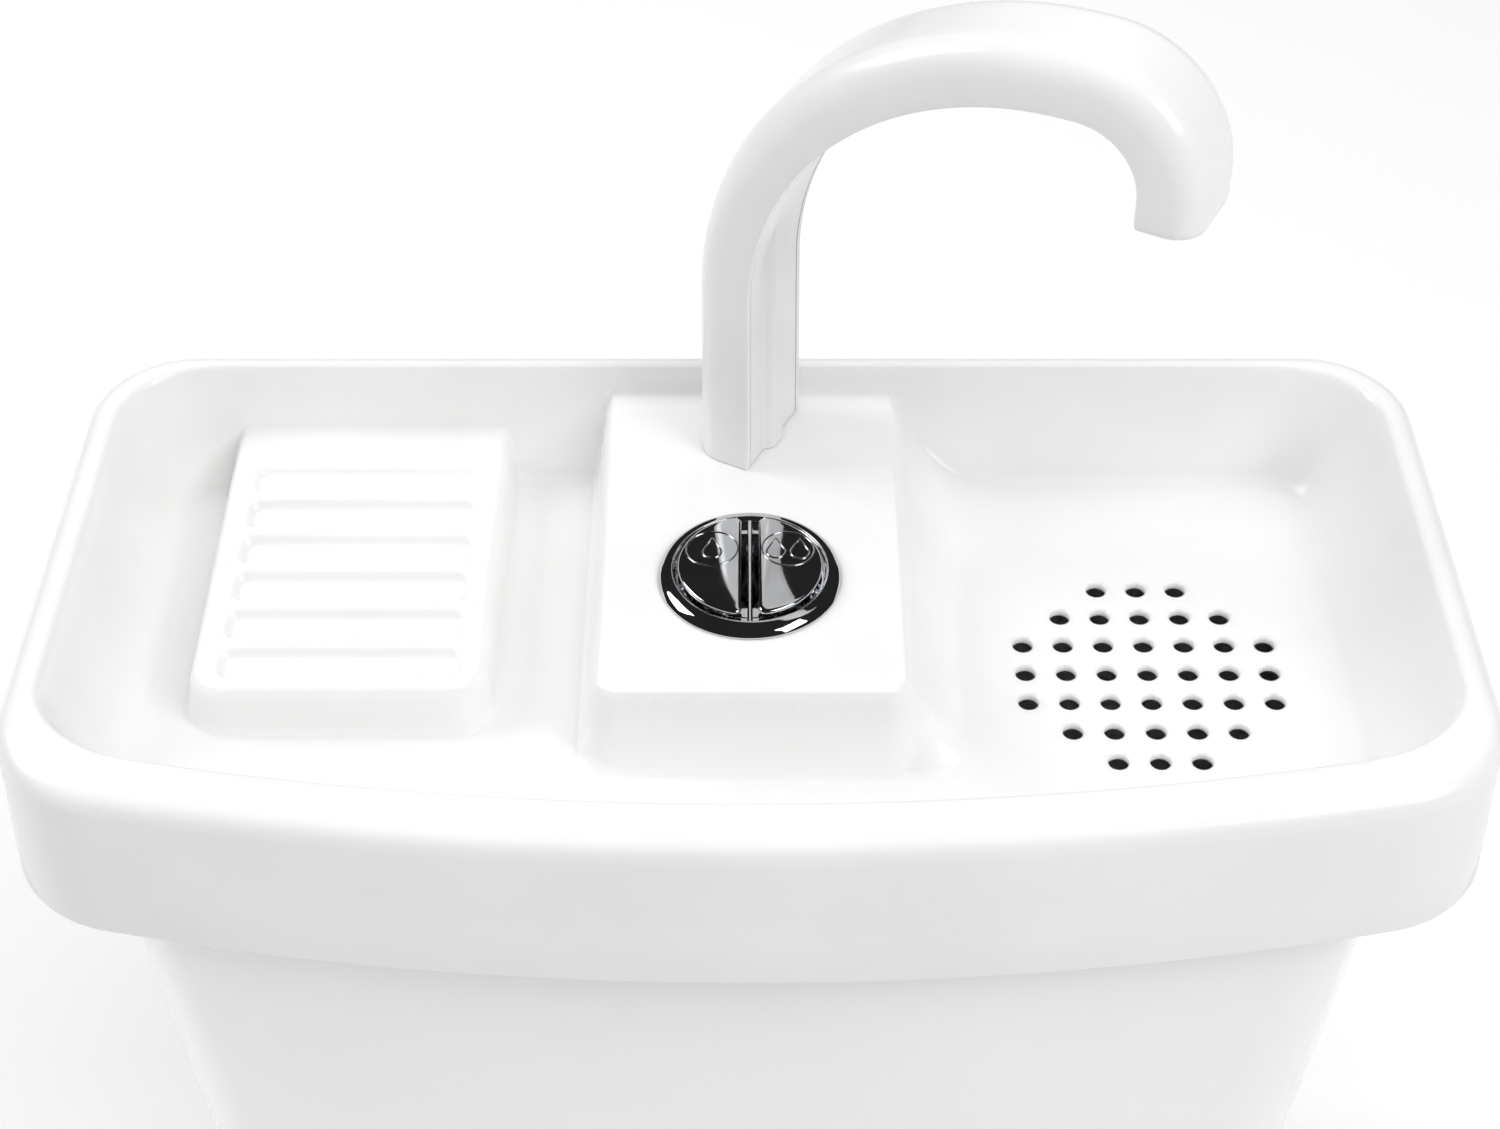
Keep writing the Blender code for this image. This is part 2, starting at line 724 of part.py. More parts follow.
def make_tank():
    foot_round = 0.008
    rings = []
    for angle in arc(0, 90, 3):
        height = TANK_BOTTOM + foot_round * (1 - math.cos(angle))
        rings.append((tank_outline(height, foot_round * (1 - math.sin(angle))), height))
    rings.append((tank_outline(TANK_TOP - 0.003, 0.0), TANK_TOP - 0.003))
    rings.append((tank_outline(TANK_TOP - 0.0009, 0.0009), TANK_TOP - 0.0009))
    rings.append((tank_outline(TANK_TOP, 0.003), TANK_TOP))
    tank = loft(rings, "tank")
    inner = []
    for angle in arc(0, 90, 3):
        height = TANK_FLOOR + foot_round * (1 - math.cos(angle))
        inner.append((tank_outline(height, TANK_WALL + foot_round * (1 - math.sin(angle))), height))
    inner.append((tank_outline(TANK_TOP + 0.01, TANK_WALL), TANK_TOP + 0.01))
    cut(tank, loft(inner, "tank_inside"))
    low, high = TANK_BOTTOM - 0.01, TANK_FLOOR + 0.01
    cut(tank, cylinder(OUTLET, 0.0325, low, high, 32, "outlet_hole"))
    cut(tank, cylinder(FILL, 0.0125, low, high, 20, "fill_hole"))
    for side in (-1, 1):
        cut(tank, cylinder((side * BOLT_X, OUTLET.y), 0.0055, low, high, 16, "bolt_hole"))
    finish(tank, "tank_shell", GLAZE, smooth=False)


def make_tank_bolt(side, name):
    """Bolt to the bowl, with its rubber washer in the tank and its wing-less nut below."""
    at = (side * BOLT_X, OUTLET.y)
    head_low = TANK_FLOOR + 0.004 + 2 * GAP
    head = [(0.0, head_low + 0.0055), (0.006, head_low + 0.005), (0.010, head_low + 0.002)]
    shaft = [(0.010, head_low), (0.004, head_low), (0.004, 0.006), (0.0032, 0.005), (0.0, 0.005)]
    finish(turned(at, head + shaft, 16, closed=False), f"tank_bolt_{name}", BRASS)
    washer = ring(at, 0.0044, 0.0125, TANK_FLOOR + GAP, TANK_FLOOR + GAP + 0.004, 16)
    finish(washer, f"bolt_washer_{name}", BLACK_RUBBER)
    nut_high = TANK_BOTTOM - GAP
    nut = cylinder(at, 0.0085, nut_high - 0.0065, nut_high, 6, "nut")
    cut(nut, cylinder(at, 0.0043, 0.0, 0.05, 16, "nut_bore"))
    join(nut, ring(at, 0.0043, 0.0110, nut_high - 0.0015, nut_high, 16, "nut_flange"))
    finish(nut, f"bolt_nut_{name}", BRASS, smooth=False)


# Flush valve


def make_flush_valve_base():
    """Threaded outlet through the tank's floor, with a flange and the seat that the canister closes."""
    floor = TANK_FLOOR + 0.0027 + 2 * GAP
    profile = [
        (0.0285, 0.0660),
        (0.0420, 0.0610),
        (0.0450, 0.0560),
        (0.0450, floor),
        (0.0315, floor),
        (0.0315, 0.0080),
        (0.0270, 0.0080),
        (0.0255, 0.0660),
    ]
    finish(turned(OUTLET, profile, 28), "flush_valve_base", VALVE_PLASTIC)
    washer = ring(OUTLET, 0.0318, 0.0430, TANK_FLOOR + GAP, TANK_FLOOR + GAP + 0.0027, 28)
    finish(washer, "flush_valve_washer", BLACK_RUBBER)

    nut_high = TANK_BOTTOM - GAP
    nut = ring(OUTLET, 0.0318, 0.0400, nut_high - 0.013, nut_high, 24, "nut")
    for i in range(6):
        angle = math.radians(60 * i)
        at = (OUTLET.x + 0.0400 * math.cos(angle), OUTLET.y + 0.0400 * math.sin(angle))
        join(nut, cylinder(at, 0.0035, nut_high - 0.0125, nut_high - 0.0005, 8, "nut_lug"))
    finish(nut, "spud_nut", VALVE_PLASTIC, smooth=False)

    recess = nut_high - 0.013 - GAP
    gasket = [
        (0.0505, TANK_BOTTOM - GAP),
        (0.0520, TANK_BOTTOM - 0.004),
        (0.0490, 0.0020),
        (0.0475, 0.0000),
        (0.0330, 0.0000),
        (0.0320, 0.0015),
        (0.0320, recess),
        (0.0445, recess),
        (0.0445, TANK_BOTTOM - GAP),
    ]
    finish(turned(OUTLET, gasket, 28), "outlet_gasket", SPONGE)


def make_flush_tower():
    """Cage over the seat. Its cap guides the valves and has two ears for the levers' pin."""
    radius, thick = 0.0420, 0.0028
    tower = ring(OUTLET, radius - thick, radius, 0.0645, CAGE_TOP - GAP, 24, "tower")
    for lift, drop in ((0.072, 0.120), (0.132, 0.236)):
        for turn in (0, 90):
            slot = box((-0.06, -0.021, lift), (0.06, 0.021, drop), "window")
            slot.location = (OUTLET.x, OUTLET.y, 0)
            slot.rotation_euler = (0, 0, math.radians(turn + 45))
            cut(tower, slot)
    finish(tower, "flush_tower", VALVE_PLASTIC, smooth=False)

    cap = ring(OUTLET, 0.0140, radius, CAGE_TOP, CAGE_TOP + 0.004, 24, "cap")
    cut(cap, cylinder((-0.024, OUTLET.y), 0.0032, CAGE_TOP - 0.01, CAGE_TOP + 0.02, 16, "half_rod_guide"))
    for side in (-1, 1):
        near, far = sorted((side * 0.0222, side * 0.0262))
        ear = box((near, PIVOT_Y - 0.005, CAGE_TOP + 0.002), (far, PIVOT_Y + 0.005, PIVOT_Z + 0.005), "ear")
        join(cap, ear)
    cut(cap, rod_between((-0.03, PIVOT_Y, PIVOT_Z), (0.03, PIVOT_Y, PIVOT_Z), 0.0021, 16, "pin_bore"))
    finish(cap, "flush_tower_cap", VALVE_PLASTIC, smooth=False)
    pin = rod_between((-0.0275, PIVOT_Y, PIVOT_Z), (0.0275, PIVOT_Y, PIVOT_Z), 0.0018, 16)
    finish(pin, "lever_pin", STEEL)


def make_flush_lever(side, name):
    """Rocker: a rod presses its short end down and its long end lifts a valve."""
    near, far = sorted((side * 0.0092, side * 0.0218))
    half = LEVER_THICK / 2
    long_end, short_end = -LEVER_LONG - 0.0010, LEVER_SHORT + 0.0035
    lever = box((near, long_end, -half), (far, short_end, half), f"{name}_lever")
    cut_at = rod_between((-0.03, 0, 0), (0.03, 0, 0), 0.0021, 16, "lever_bore")
    cut_at.parent = lever
    cut(lever, cut_at)
    lever.location = (0, PIVOT_Y, PIVOT_Z)
    lever.rotation_euler = (LEVER_TILT, 0, 0)
    finish(lever, f"{name}_flush_lever", BLUE_PLASTIC, smooth=False)


def lever_lift_top():
    """Highest point of a lever's long end at rest."""
    corner = LEVER_LONG + 0.0010
    return PIVOT_Z - corner * math.sin(LEVER_TILT) + LEVER_THICK / 2 * math.cos(LEVER_TILT)


def make_canister():
    """Overflow tube with the valve disc at its foot, and a hook over the full-flush lever."""
    seat = 0.0660 + GAP
    disc_low = seat + 0.0030 + GAP
    profile = [
        (0.0130, 0.2620),
        (0.0130, disc_low + 0.0060),
        (0.0310, disc_low + 0.0040),
        (0.0310, disc_low),
        (0.0110, disc_low),
        (0.0110, 0.2620),
    ]
    canister = turned(OUTLET, profile, 24, name="canister")
    hook_low = lever_lift_top() + 0.0016
    front = OUTLET.y - 0.0130
    join(canister, box((-0.0060, front - 0.0004, 0.2550), (0.0060, front + 0.0022, hook_low + 0.0030), "strap"))
    join(canister, box((-0.0060, front - 0.0004, hook_low), (0.0210, OUTLET.y + 0.0055, hook_low + 0.0040), "hook"))
    finish(canister, "flush_canister", WHITE_PLASTIC, smooth=False)
    seal = ring(OUTLET, 0.0180, 0.0295, seat, seat + 0.0030, 24)
    finish(seal, "canister_seal", BLACK_RUBBER)

    float_at = (-0.024, OUTLET.y)
    bottom = 0.150
    profile = [
        (0.0, hook_low + 0.0035),
        (0.0075, hook_low + 0.0035),
        (0.0075, hook_low),
        (0.0025, hook_low),
        (0.0025, bottom + 0.045),
        (0.0085, bottom + 0.043),
        (0.0085, bottom + 0.001),
        (0.0075, bottom),
        (0.0, bottom),
    ]
    finish(turned(float_at, profile, 16, closed=False), "half_flush_float", BLUE_PLASTIC)


# Fill valve


def make_fill_valve():
    """Riser through the tank's floor with its washer and nut, the valve head, and the nipple for the hose."""
    flange = TANK_FLOOR + 0.0025 + 2 * GAP
    profile = [
        (0.0110, 0.2620),
        (0.0110, flange + 0.0040),
        (0.0200, flange + 0.0040),
        (0.0200, flange),
        (0.0110, flange),
        (0.0110, 0.0040),
        (0.0070, 0.0040),
        (0.0070, 0.2620),
    ]
    finish(turned(FILL, profile, 20), "fill_valve_stem", VALVE_PLASTIC)
    washer = ring(FILL, 0.0114, 0.0185, TANK_FLOOR + GAP, TANK_FLOOR + GAP + 0.0025, 20)
    finish(washer, "fill_valve_washer", BLACK_RUBBER)
    nut_high = TANK_BOTTOM - GAP
    nut = cylinder(FILL, 0.0190, nut_high - 0.011, nut_high, 6, "nut")
    cut(nut, cylinder(FILL, 0.0114, 0.0, 0.05, 20, "nut_bore"))
    finish(nut, "fill_valve_locknut", VALVE_PLASTIC, smooth=False)

    low = 0.2620 + GAP
    profile = [
        (0.0, 0.2965),
        (0.0150, 0.2965),
        (0.0205, 0.2930),
        (0.0205, 0.2700),
        (0.0170, low),
        (0.0, low),
    ]
    head = turned(FILL, profile, 20, closed=False, name="head")
    join(head, rod_between((FILL.x + 0.015, FILL.y, 0.281), (FILL.x + 0.034, FILL.y, 0.281), 0.0042, 16, "nipple"))
    for side in (-1, 1):
        near, far = sorted((FILL.y + side * 0.0035, FILL.y + side * 0.0065))
        ear_x = FLOAT_PIVOT.x
        join(head, box((ear_x - 0.005, near, 0.2940), (ear_x + 0.005, far, FLOAT_PIVOT.y + 0.004), "head_ear"))
    start = (FLOAT_PIVOT.x, FILL.y - 0.02, FLOAT_PIVOT.y)
    end = (FLOAT_PIVOT.x, FILL.y + 0.02, FLOAT_PIVOT.y)
    cut(head, rod_between(start, end, 0.0018, 12, "head_pin_bore"))
    finish(head, "fill_valve_head", BLUE_PLASTIC, smooth=False)
    pin_reach = Vector((0, 0.0078, 0))
    middle = Vector((FLOAT_PIVOT.x, FILL.y, FLOAT_PIVOT.y))
    finish(rod_between(middle - pin_reach, middle + pin_reach, 0.0015, 12), "float_lever_pin", STEEL)


def make_float():
    """Float cup on the riser, the link that rises with it, and the lever that shuts the valve."""
    low, high = 0.1700, 0.2220
    profile = [
        (0.0290, high),
        (0.0305, high - 0.002),
        (0.0290, low),
        (0.0125, low),
        (0.0125, high),
    ]
    finish(turned(FILL, profile, 24), "float_cup", VALVE_PLASTIC)

    at = (LINK_X, FILL.y)
    arm = FLOAT_PIVOT.x - LINK_X
    lever_z = FLOAT_PIVOT.y - arm * math.sin(FLOAT_TILT)
    clear = 0.0044
    profile = [
        (0.0, lever_z + clear + 0.002),
        (0.0038, lever_z + clear + 0.002),
        (0.0038, lever_z + clear),
        (0.0014, lever_z + clear),
        (0.0014, lever_z - clear),
        (0.0038, lever_z - clear),
        (0.0038, lever_z - clear - 0.002),
        (0.0014, lever_z - clear - 0.002),
        (0.0014, high + GAP),
        (0.0, high + GAP),
    ]
    finish(turned(at, profile, 12, closed=False), "float_link", STEEL)

    lever = box((-arm - 0.006, -0.0030, -0.0025), (0.0050, 0.0030, 0.0025), "lever")
    cut(lever, rod_between((0, -0.01, 0), (0, 0.01, 0), 0.0018, 12, "float_lever_bore"))
    fork = box((-arm - 0.010, -0.0018, -0.01), (-arm + 0.0035, 0.0018, 0.01), "fork")
    cut(lever, fork)
    for cutter in [modifier.object for modifier in lever.modifiers]:
        cutter.parent = lever
    lever.location = (FLOAT_PIVOT.x, FILL.y, FLOAT_PIVOT.y)
    lever.rotation_euler = (0, -FLOAT_TILT, 0)
    finish(lever, "float_lever", BLUE_PLASTIC, smooth=False)


# Hose


def smooth_route(points, spacing):
    """Points at near-equal spacing along a smooth curve through the route's own points."""
    ends = [2 * points[0] - points[1]] + points + [2 * points[-1] - points[-2]]
    dense = []
    steps = 24
    for i in range(1, len(ends) - 2):
        before, here, there, after = ends[i - 1 : i + 3]
        for k in range(steps):
            t = k / steps
            dense.append(
                0.5
                * (
                    2 * here
                    + (there - before) * t
                    + (2 * before - 5 * here + 4 * there - after) * t**2
                    + (3 * here - before - 3 * there + after) * t**3
                )
            )
    dense.append(points[-1])
    total = sum((b - a).length for a, b in zip(dense, dense[1:]))
    count = max(2, round(total / spacing))
    made, run, target = [dense[0]], 0.0, total / count
    for a, b in zip(dense, dense[1:]):
        step = (b - a).length
        while run + step >= target - 1e-9 and len(made) < count:
            made.append(a + (b - a) * ((target - run) / step))
            target += total / count
        run += step
    made.append(dense[-1])
    return made


HOSE_RADIUS = 0.0050
HOSE_ROUTE = [
    (-0.0857, 0.0050, 0.2810),
    (-0.0700, 0.0056, 0.2810),
    (-0.0530, 0.0140, 0.2795),
    (-0.0385, 0.0330, 0.2765),
    (-0.0270, 0.0550, 0.2745),
    (-0.0140, 0.0730, 0.2790),
    (-0.0035, 0.0810, 0.2920),
    (SPOUT.x, SPOUT.y, 0.3090),
    (SPOUT.x, SPOUT.y, 0.3220),
    (SPOUT.x, SPOUT.y, 0.3357),
]


def make_hose():
    """Soft hose from the fill valve's nipple to the spout's barb, with a clip near each end."""
    curve = bpy.data.curves.new("supply_hose", "CURVE")
    curve.dimensions = "3D"
    curve.bevel_depth = HOSE_RADIUS
    curve.bevel_resolution = 1
    curve.use_fill_caps = True
    route = smooth_route([Vector(point) for point in HOSE_ROUTE], 0.007)
    spline = curve.splines.new("POLY")
    spline.points.add(len(route) - 1)
    for i, point in enumerate(route):
        spline.points[i].co = (*point, 1)
    hose = bpy.data.objects.new("supply_hose", curve)
    bpy.context.scene.collection.objects.link(hose)
    finish(hose, "supply_hose", HOSE)

    clip = ring(SPOUT, HOSE_RADIUS + GAP, HOSE_RADIUS + 0.0016, 0.3265, 0.3305, 14)
    finish(clip, "hose_clip_spout", STEEL)
    clip = ring((0, 0), HOSE_RADIUS + GAP, HOSE_RADIUS + 0.0016, -0.002, 0.002, 14)
    clip.rotation_euler = (0, math.pi / 2, 0)
    clip.location = (-0.0805, FILL.y, 0.2810)
    finish(clip, "hose_clip_valve", STEEL)


def hang_on_axis(axis_name, point, names):
    """Parents the objects, where they are, to an empty on their joint's axis."""
    empty = bpy.data.objects.new(axis_name, None)
    empty.location = point
    parts.objects.link(empty)
    for name in names:
        obj = bpy.data.objects[name]
        obj.parent = empty
        obj.matrix_parent_inverse = Matrix.Translation(-point)


def main():
    clear_scene()
    make_sink_basin()
    make_button_housing()
    for side, name in ((-1, "half"), (1, "full")):
        make_button(side, name)
        make_button_spring(side, f"{name}_button_spring")
        make_flush_lever(side, name)
    make_spout()
    make_tank()
    turning = [f"spout_{name}" for name in ("shell", "inner_cover", "water_tube", "outlet", "shank", "nut")]
    hang_on_axis("spout_axis", Vector((SPOUT.x, SPOUT.y, PEDESTAL_TOP)), turning)
    for side, name in ((-1, "left"), (1, "right")):
        make_tank_bolt(side, name)
    make_flush_valve_base()
    make_flush_tower()
    make_canister()
    make_fill_valve()
    make_float()
    make_hose()


main()
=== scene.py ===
"""Looks of the cistern-top hand-wash sink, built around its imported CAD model.

Metres, +Z up, +X to the user's right and +Y to the wall, as in the CAD.
"""

import json
import math

import bmesh
import bpy
import numpy as np
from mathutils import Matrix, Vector, geometry


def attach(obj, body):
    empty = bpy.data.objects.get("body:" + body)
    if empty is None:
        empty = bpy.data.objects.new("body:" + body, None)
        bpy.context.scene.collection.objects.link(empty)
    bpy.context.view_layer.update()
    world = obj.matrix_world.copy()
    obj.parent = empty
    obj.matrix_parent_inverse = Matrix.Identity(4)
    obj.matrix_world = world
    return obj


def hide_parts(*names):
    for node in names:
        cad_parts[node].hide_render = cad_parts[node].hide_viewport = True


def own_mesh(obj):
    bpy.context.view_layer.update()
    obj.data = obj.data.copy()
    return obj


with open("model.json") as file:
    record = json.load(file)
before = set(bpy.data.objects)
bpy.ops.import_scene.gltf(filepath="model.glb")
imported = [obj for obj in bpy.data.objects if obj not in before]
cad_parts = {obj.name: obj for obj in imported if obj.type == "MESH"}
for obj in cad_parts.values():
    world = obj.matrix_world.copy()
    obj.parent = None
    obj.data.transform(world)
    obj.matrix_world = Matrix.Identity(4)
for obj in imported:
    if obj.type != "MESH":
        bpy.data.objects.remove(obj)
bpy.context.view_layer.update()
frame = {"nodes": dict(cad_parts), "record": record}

# Sink
HALF_WIDTH = 0.2190
HALF_WIDTH_BACK = 0.2160
FRONT = -0.11275
BACK = 0.11275
BOW_RADIUS = 0.915
FRONT_CORNER = 0.040
BACK_CORNER = 0.034
WALL = 0.003
SKIRT_BOTTOM = 0.3285
SKIRT_DRAFT = 0.0015
FLOOR_TOP = 0.343
PEDESTAL_TOP = 0.373
SOAP_TOP = 0.360
RIM_TOP = 0.383
EDGE_INSET = 0.0085  # from the skirt to where the rim starts to round over
FLOOR_INSET = {"side": 0.0360, "back": 0.0235, "front": 0.0330}
BOWL_RUN = {"side": 0.0255, "back": 0.0147, "front": 0.0135}
FLOOR_CORNER = 0.013

# Fittings: places in plan, then the buttons' heights and the drain grid
BUTTON = Vector((0.0, 0.01125))
DRAIN = Vector((0.124, 0.0))
SPOUT = Vector((-0.0013, 0.0820))
SPOUT_TURN = math.radians(-27.9)
STEM = (0.0102, 0.017)  # right one of the two button stems
BUTTON_LOW = PEDESTAL_TOP + 0.0041  # underside of the buttons
SPRING_SEAT = 0.3575
COIL_RADIUS = 0.0038
MARK_RADIUS = 0.0080
HOLE_PITCH = 0.0127
HOLE_RADIUS = 0.0033
HOLE_ROWS = (3, 5, 7, 7, 7, 5, 3)

# Tank
TANK_BOTTOM = 0.038
TANK_TOP = 0.340
TANK_WALL = 0.009
TANK_FLOOR = 0.048
OUTLET = (0.0, -0.016)
FILL = (-0.120, 0.005)
BOLT_X = 0.075

# Studio
WORLD_LIGHT = 0.37
WORLD_IN_REFLECTIONS = 0.02
FLOOR_SIZE = 12.0


# Numbers and curves


def smooth_curve(points, samples=500):
    """Function through the points, smooth and without overshoot (a monotone cubic)."""
    x, y = np.array(points, float).T
    slope = np.diff(y) / np.diff(x)
    tangent = np.concatenate([slope[:1], (slope[1:] + slope[:-1]) / 2, slope[-1:]])
    for i, s in enumerate(slope):
        if s == 0:
            tangent[i] = tangent[i + 1] = 0
            continue
        for k in (i, i + 1):
            ratio = tangent[k] / s
            tangent[k] = s * min(max(ratio, 0), 3)
    dense = np.linspace(x[0], x[-1], samples)
    i = np.clip(np.searchsorted(x, dense) - 1, 0, len(x) - 2)
    step = x[i + 1] - x[i]
    t = (dense - x[i]) / step
    value = (2 * t**3 - 3 * t**2 + 1) * y[i] + (t**3 - 2 * t**2 + t) * step * tangent[i]
    value += (3 * t**2 - 2 * t**3) * y[i + 1] + (t**3 - t**2) * step * tangent[i + 1]
    return lambda v: np.interp(v, dense, value)


def smooth_max(a, b, reach):
    blend = np.maximum(reach - np.abs(a - b), 0) / reach
    return np.maximum(a, b) + blend**2 * reach / 4


def smooth_step(v):
    v = np.clip(v, 0, 1)
    return v * v * (3 - 2 * v)


def resample(points, spacing=None, count=None):
    """Closed line through points at equal spacing, starting at the first one."""
    loop = np.vstack([points, points[:1]])
    length = np.concatenate([[0], np.cumsum(np.hypot(*np.diff(loop, axis=0).T))])
    count = count or max(8, round(length[-1] / spacing))
    at = np.arange(count) * length[-1] / count
    return np.stack([np.interp(at, length, loop[:, 0]), np.interp(at, length, loop[:, 1])], 1)


def bowed_line(half_front, half_back, front, back, bow_radius, front_corner, back_corner):
    """Plan with a straight back, near-parallel sides and a bowed front, from the middle of the front."""
    reach = bow_radius - front_corner
    corner_x = half_front - front_corner
    corner_y = front + bow_radius - math.sqrt(reach**2 - corner_x**2)
    swing = math.asin(corner_x / reach)
    bow = np.linspace(0, swing, 40)
    turn = np.linspace(swing, math.pi / 2, 24)
    last = np.linspace(0, math.pi / 2, 24)
    x = [bow_radius * np.sin(bow), corner_x + front_corner * np.sin(turn)]
    y = [front + bow_radius * (1 - np.cos(bow)), corner_y - front_corner * np.cos(turn)]
    x.append(half_back - back_corner * (1 - np.cos(last)))
    y.append(back - back_corner * (1 - np.sin(last)))
    right = np.stack([np.concatenate(x), np.concatenate(y)], 1)
    left = right[:0:-1] * (-1, 1)
    return np.vstack([right, left])


def sink_line(side, back=None, front=None, spacing=0.0022, count=None):
    """The skirt's outline moved inwards."""
    back = side if back is None else back
    front = side if front is None else front
    line = bowed_line(
        HALF_WIDTH - side,
        HALF_WIDTH_BACK - side,
        FRONT + front,
        BACK - back,
        BOW_RADIUS - front,
        max(FRONT_CORNER - side, 0.012),
        max(BACK_CORNER - side, 0.012),
    )
    return resample(line, spacing, count)


def rounded_rectangle(left, right, front, back, corner, spacing):
    points = []
    for x, y, start in (
        (right - corner, front + corner, -90),
        (right - corner, back - corner, 0),
        (left + corner, back - corner, 90),
        (left + corner, front + corner, 180),
    ):
        angle = np.radians(np.linspace(start, start + 90, 9))
        points.append(np.stack([x + corner * np.cos(angle), y + corner * np.sin(angle)], 1))
    return resample(np.vstack(points), spacing)


def circle(centre, radius, count):
    angle = 2 * math.pi * np.arange(count) / count
    return np.stack([centre[0] + radius * np.cos(angle), centre[1] + radius * np.sin(angle)], 1)


def drain_centres():
    middle = (len(HOLE_ROWS) - 1) / 2
    return np.array(
        [
            (DRAIN.x + (i - (count - 1) / 2) * HOLE_PITCH, DRAIN.y + (row - middle) * HOLE_PITCH)
            for row, count in enumerate(HOLE_ROWS)
            for i in range(count)
        ]
    )


# Objects


def new_piece(name, vertices, faces, body, slot, replaces=(), sharp=40):
    """Mesh piece with smooth shading, riding on a body."""
    mesh = bpy.data.meshes.new(name)
    mesh.from_pydata([tuple(v) for v in vertices], [], [tuple(f) for f in faces])
    mesh.validate()
    mesh.shade_smooth()
    mesh.set_sharp_from_angle(angle=math.radians(sharp))
    obj = bpy.data.objects.new(name, mesh)
    bpy.context.scene.collection.objects.link(obj)
    dress(obj, slot)
    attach(obj, body)
    if replaces:
        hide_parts(*replaces)
    return obj


def dress(obj, slot):
    obj.data.materials.clear()
    obj.data.materials.append(MATERIALS[slot])


def loft(rings, closed_ends=True):
    """Vertices and faces of a skin through rings of as many points each."""
    count = len(rings[0])
    vertices = np.vstack(rings)
    faces = []
    for row in range(len(rings) - 1):
        for i in range(count):
            j = (i + 1) % count
            low, high = row * count, (row + 1) * count
            faces.append((low + i, low + j, high + j, high + i))
    if closed_ends:
        faces.append(tuple(range(count - 1, -1, -1)))
        faces.append(tuple(range((len(rings) - 1) * count, len(rings) * count)))
    return vertices, faces


def at_height(line, height):
    return np.column_stack([line, np.full(len(line), height)])


# Materials


class Nodes:
    """A material's shader nodes, with short ways to add the usual ones."""

    def __init__(self, name):
        self.material = bpy.data.materials.new(f"{name}_look")
        self.material.use_nodes = True
        self.tree = self.material.node_tree
        self.shader = self.tree.nodes["Principled BSDF"]

    def add(self, kind, **values):
        node = self.tree.nodes.new(kind)
        for key, value in values.items():
            if key in node.inputs.keys():
                node.inputs[key].default_value = value
            else:
                setattr(node, key, value)
        return node

    def join(self, start, end):
        self.tree.links.new(start, end)

    def noise(self, scale, detail=3.0, roughness=0.5):
        node = self.add("ShaderNodeTexNoise", Scale=scale, Detail=detail, Roughness=roughness)
        self.join(self.place.outputs["Object"], node.inputs["Vector"])
        return node.outputs["Fac"]

    def spread(self, value, low, high, start=0.3, end=0.7):
        node = self.add("ShaderNodeMapRange")
        node.inputs["From Min"].default_value = start
        node.inputs["From Max"].default_value = end
        node.inputs["To Min"].default_value = low
        node.inputs["To Max"].default_value = high
        self.join(value, node.inputs["Value"])
        return node.outputs["Result"]

    def colours(self, value, first, second, start=0.35, end=0.65):
        node = self.add("ShaderNodeValToRGB")
        node.color_ramp.elements[0].position = start
        node.color_ramp.elements[1].position = end
        node.color_ramp.elements[0].color = (*first, 1)
        node.color_ramp.elements[1].color = (*second, 1)
        self.join(value, node.inputs["Fac"])
        self.join(node.outputs["Color"], self.shader.inputs["Base Color"])

    def bump(self, layers):
        """Bump from (value, distance) layers, one through the next."""
        before = None
        for value, distance in layers:
            node = self.add("ShaderNodeBump", Strength=1.0, Distance=distance)
            self.join(value, node.inputs["Height"])
            if before:
                self.join(before, node.inputs["Normal"])
            before = node.outputs["Normal"]
        self.join(before, self.shader.inputs["Normal"])

    def start(self):
        self.place = self.add("ShaderNodeTexCoord")
        return self


def moulded_plastic(name, dark, light, rough, grain=0.000004):
    """Injection-moulded plastic: faint cloudiness, uneven gloss and the mould's fine texture."""
    nodes = Nodes(name).start()
    nodes.colours(nodes.noise(22, 5), dark, light)
    nodes.join(nodes.spread(nodes.noise(60, 6), *rough), nodes.shader.inputs["Roughness"])
    nodes.bump([(nodes.noise(18, 2), grain * 14), (nodes.noise(900, 2), grain)])
    return nodes.material


def glazed_ceramic(name):
    """White vitreous china: clear glaze over a slightly wavy body, with sparse pinholes."""
    nodes = Nodes(name).start()
    nodes.colours(nodes.noise(9, 4), (0.90, 0.902, 0.90), (0.93, 0.93, 0.925))
    nodes.join(nodes.spread(nodes.noise(35, 5), 0.16, 0.24), nodes.shader.inputs["Roughness"])
    nodes.bump([(nodes.noise(7, 1), 0.00022), (nodes.noise(260, 2), 0.000006)])
    nodes.shader.inputs["Coat Weight"].default_value = 0.8
    nodes.shader.inputs["Coat Roughness"].default_value = 0.06
    return nodes.material


def metal(name, dark, light, rough, scratch=0.0, stretch=(1, 1, 1)):
    """Plated or bright metal with uneven polish, and fine scratches along one axis."""
    nodes = Nodes(name).start()
    nodes.colours(nodes.noise(80, 4), dark, light)
    nodes.join(nodes.spread(nodes.noise(140, 6), *rough), nodes.shader.inputs["Roughness"])
    if scratch:
        mapping = nodes.add("ShaderNodeMapping", Scale=stretch)
        nodes.join(nodes.place.outputs["Object"], mapping.inputs["Vector"])
        lines = nodes.add("ShaderNodeTexNoise", Scale=300.0, Detail=4.0)
        nodes.join(mapping.outputs["Vector"], lines.inputs["Vector"])
        nodes.bump([(lines.outputs["Fac"], scratch)])
    nodes.shader.inputs["Metallic"].default_value = 1.0
    return nodes.material


def rubber(name, dark, light, grain, scale):
    nodes = Nodes(name).start()
    nodes.colours(nodes.noise(scale / 3, 5), dark, light)
    nodes.join(nodes.spread(nodes.noise(scale, 4), 0.7, 0.95), nodes.shader.inputs["Roughness"])
    nodes.bump([(nodes.noise(scale, 4), grain)])
    return nodes.material


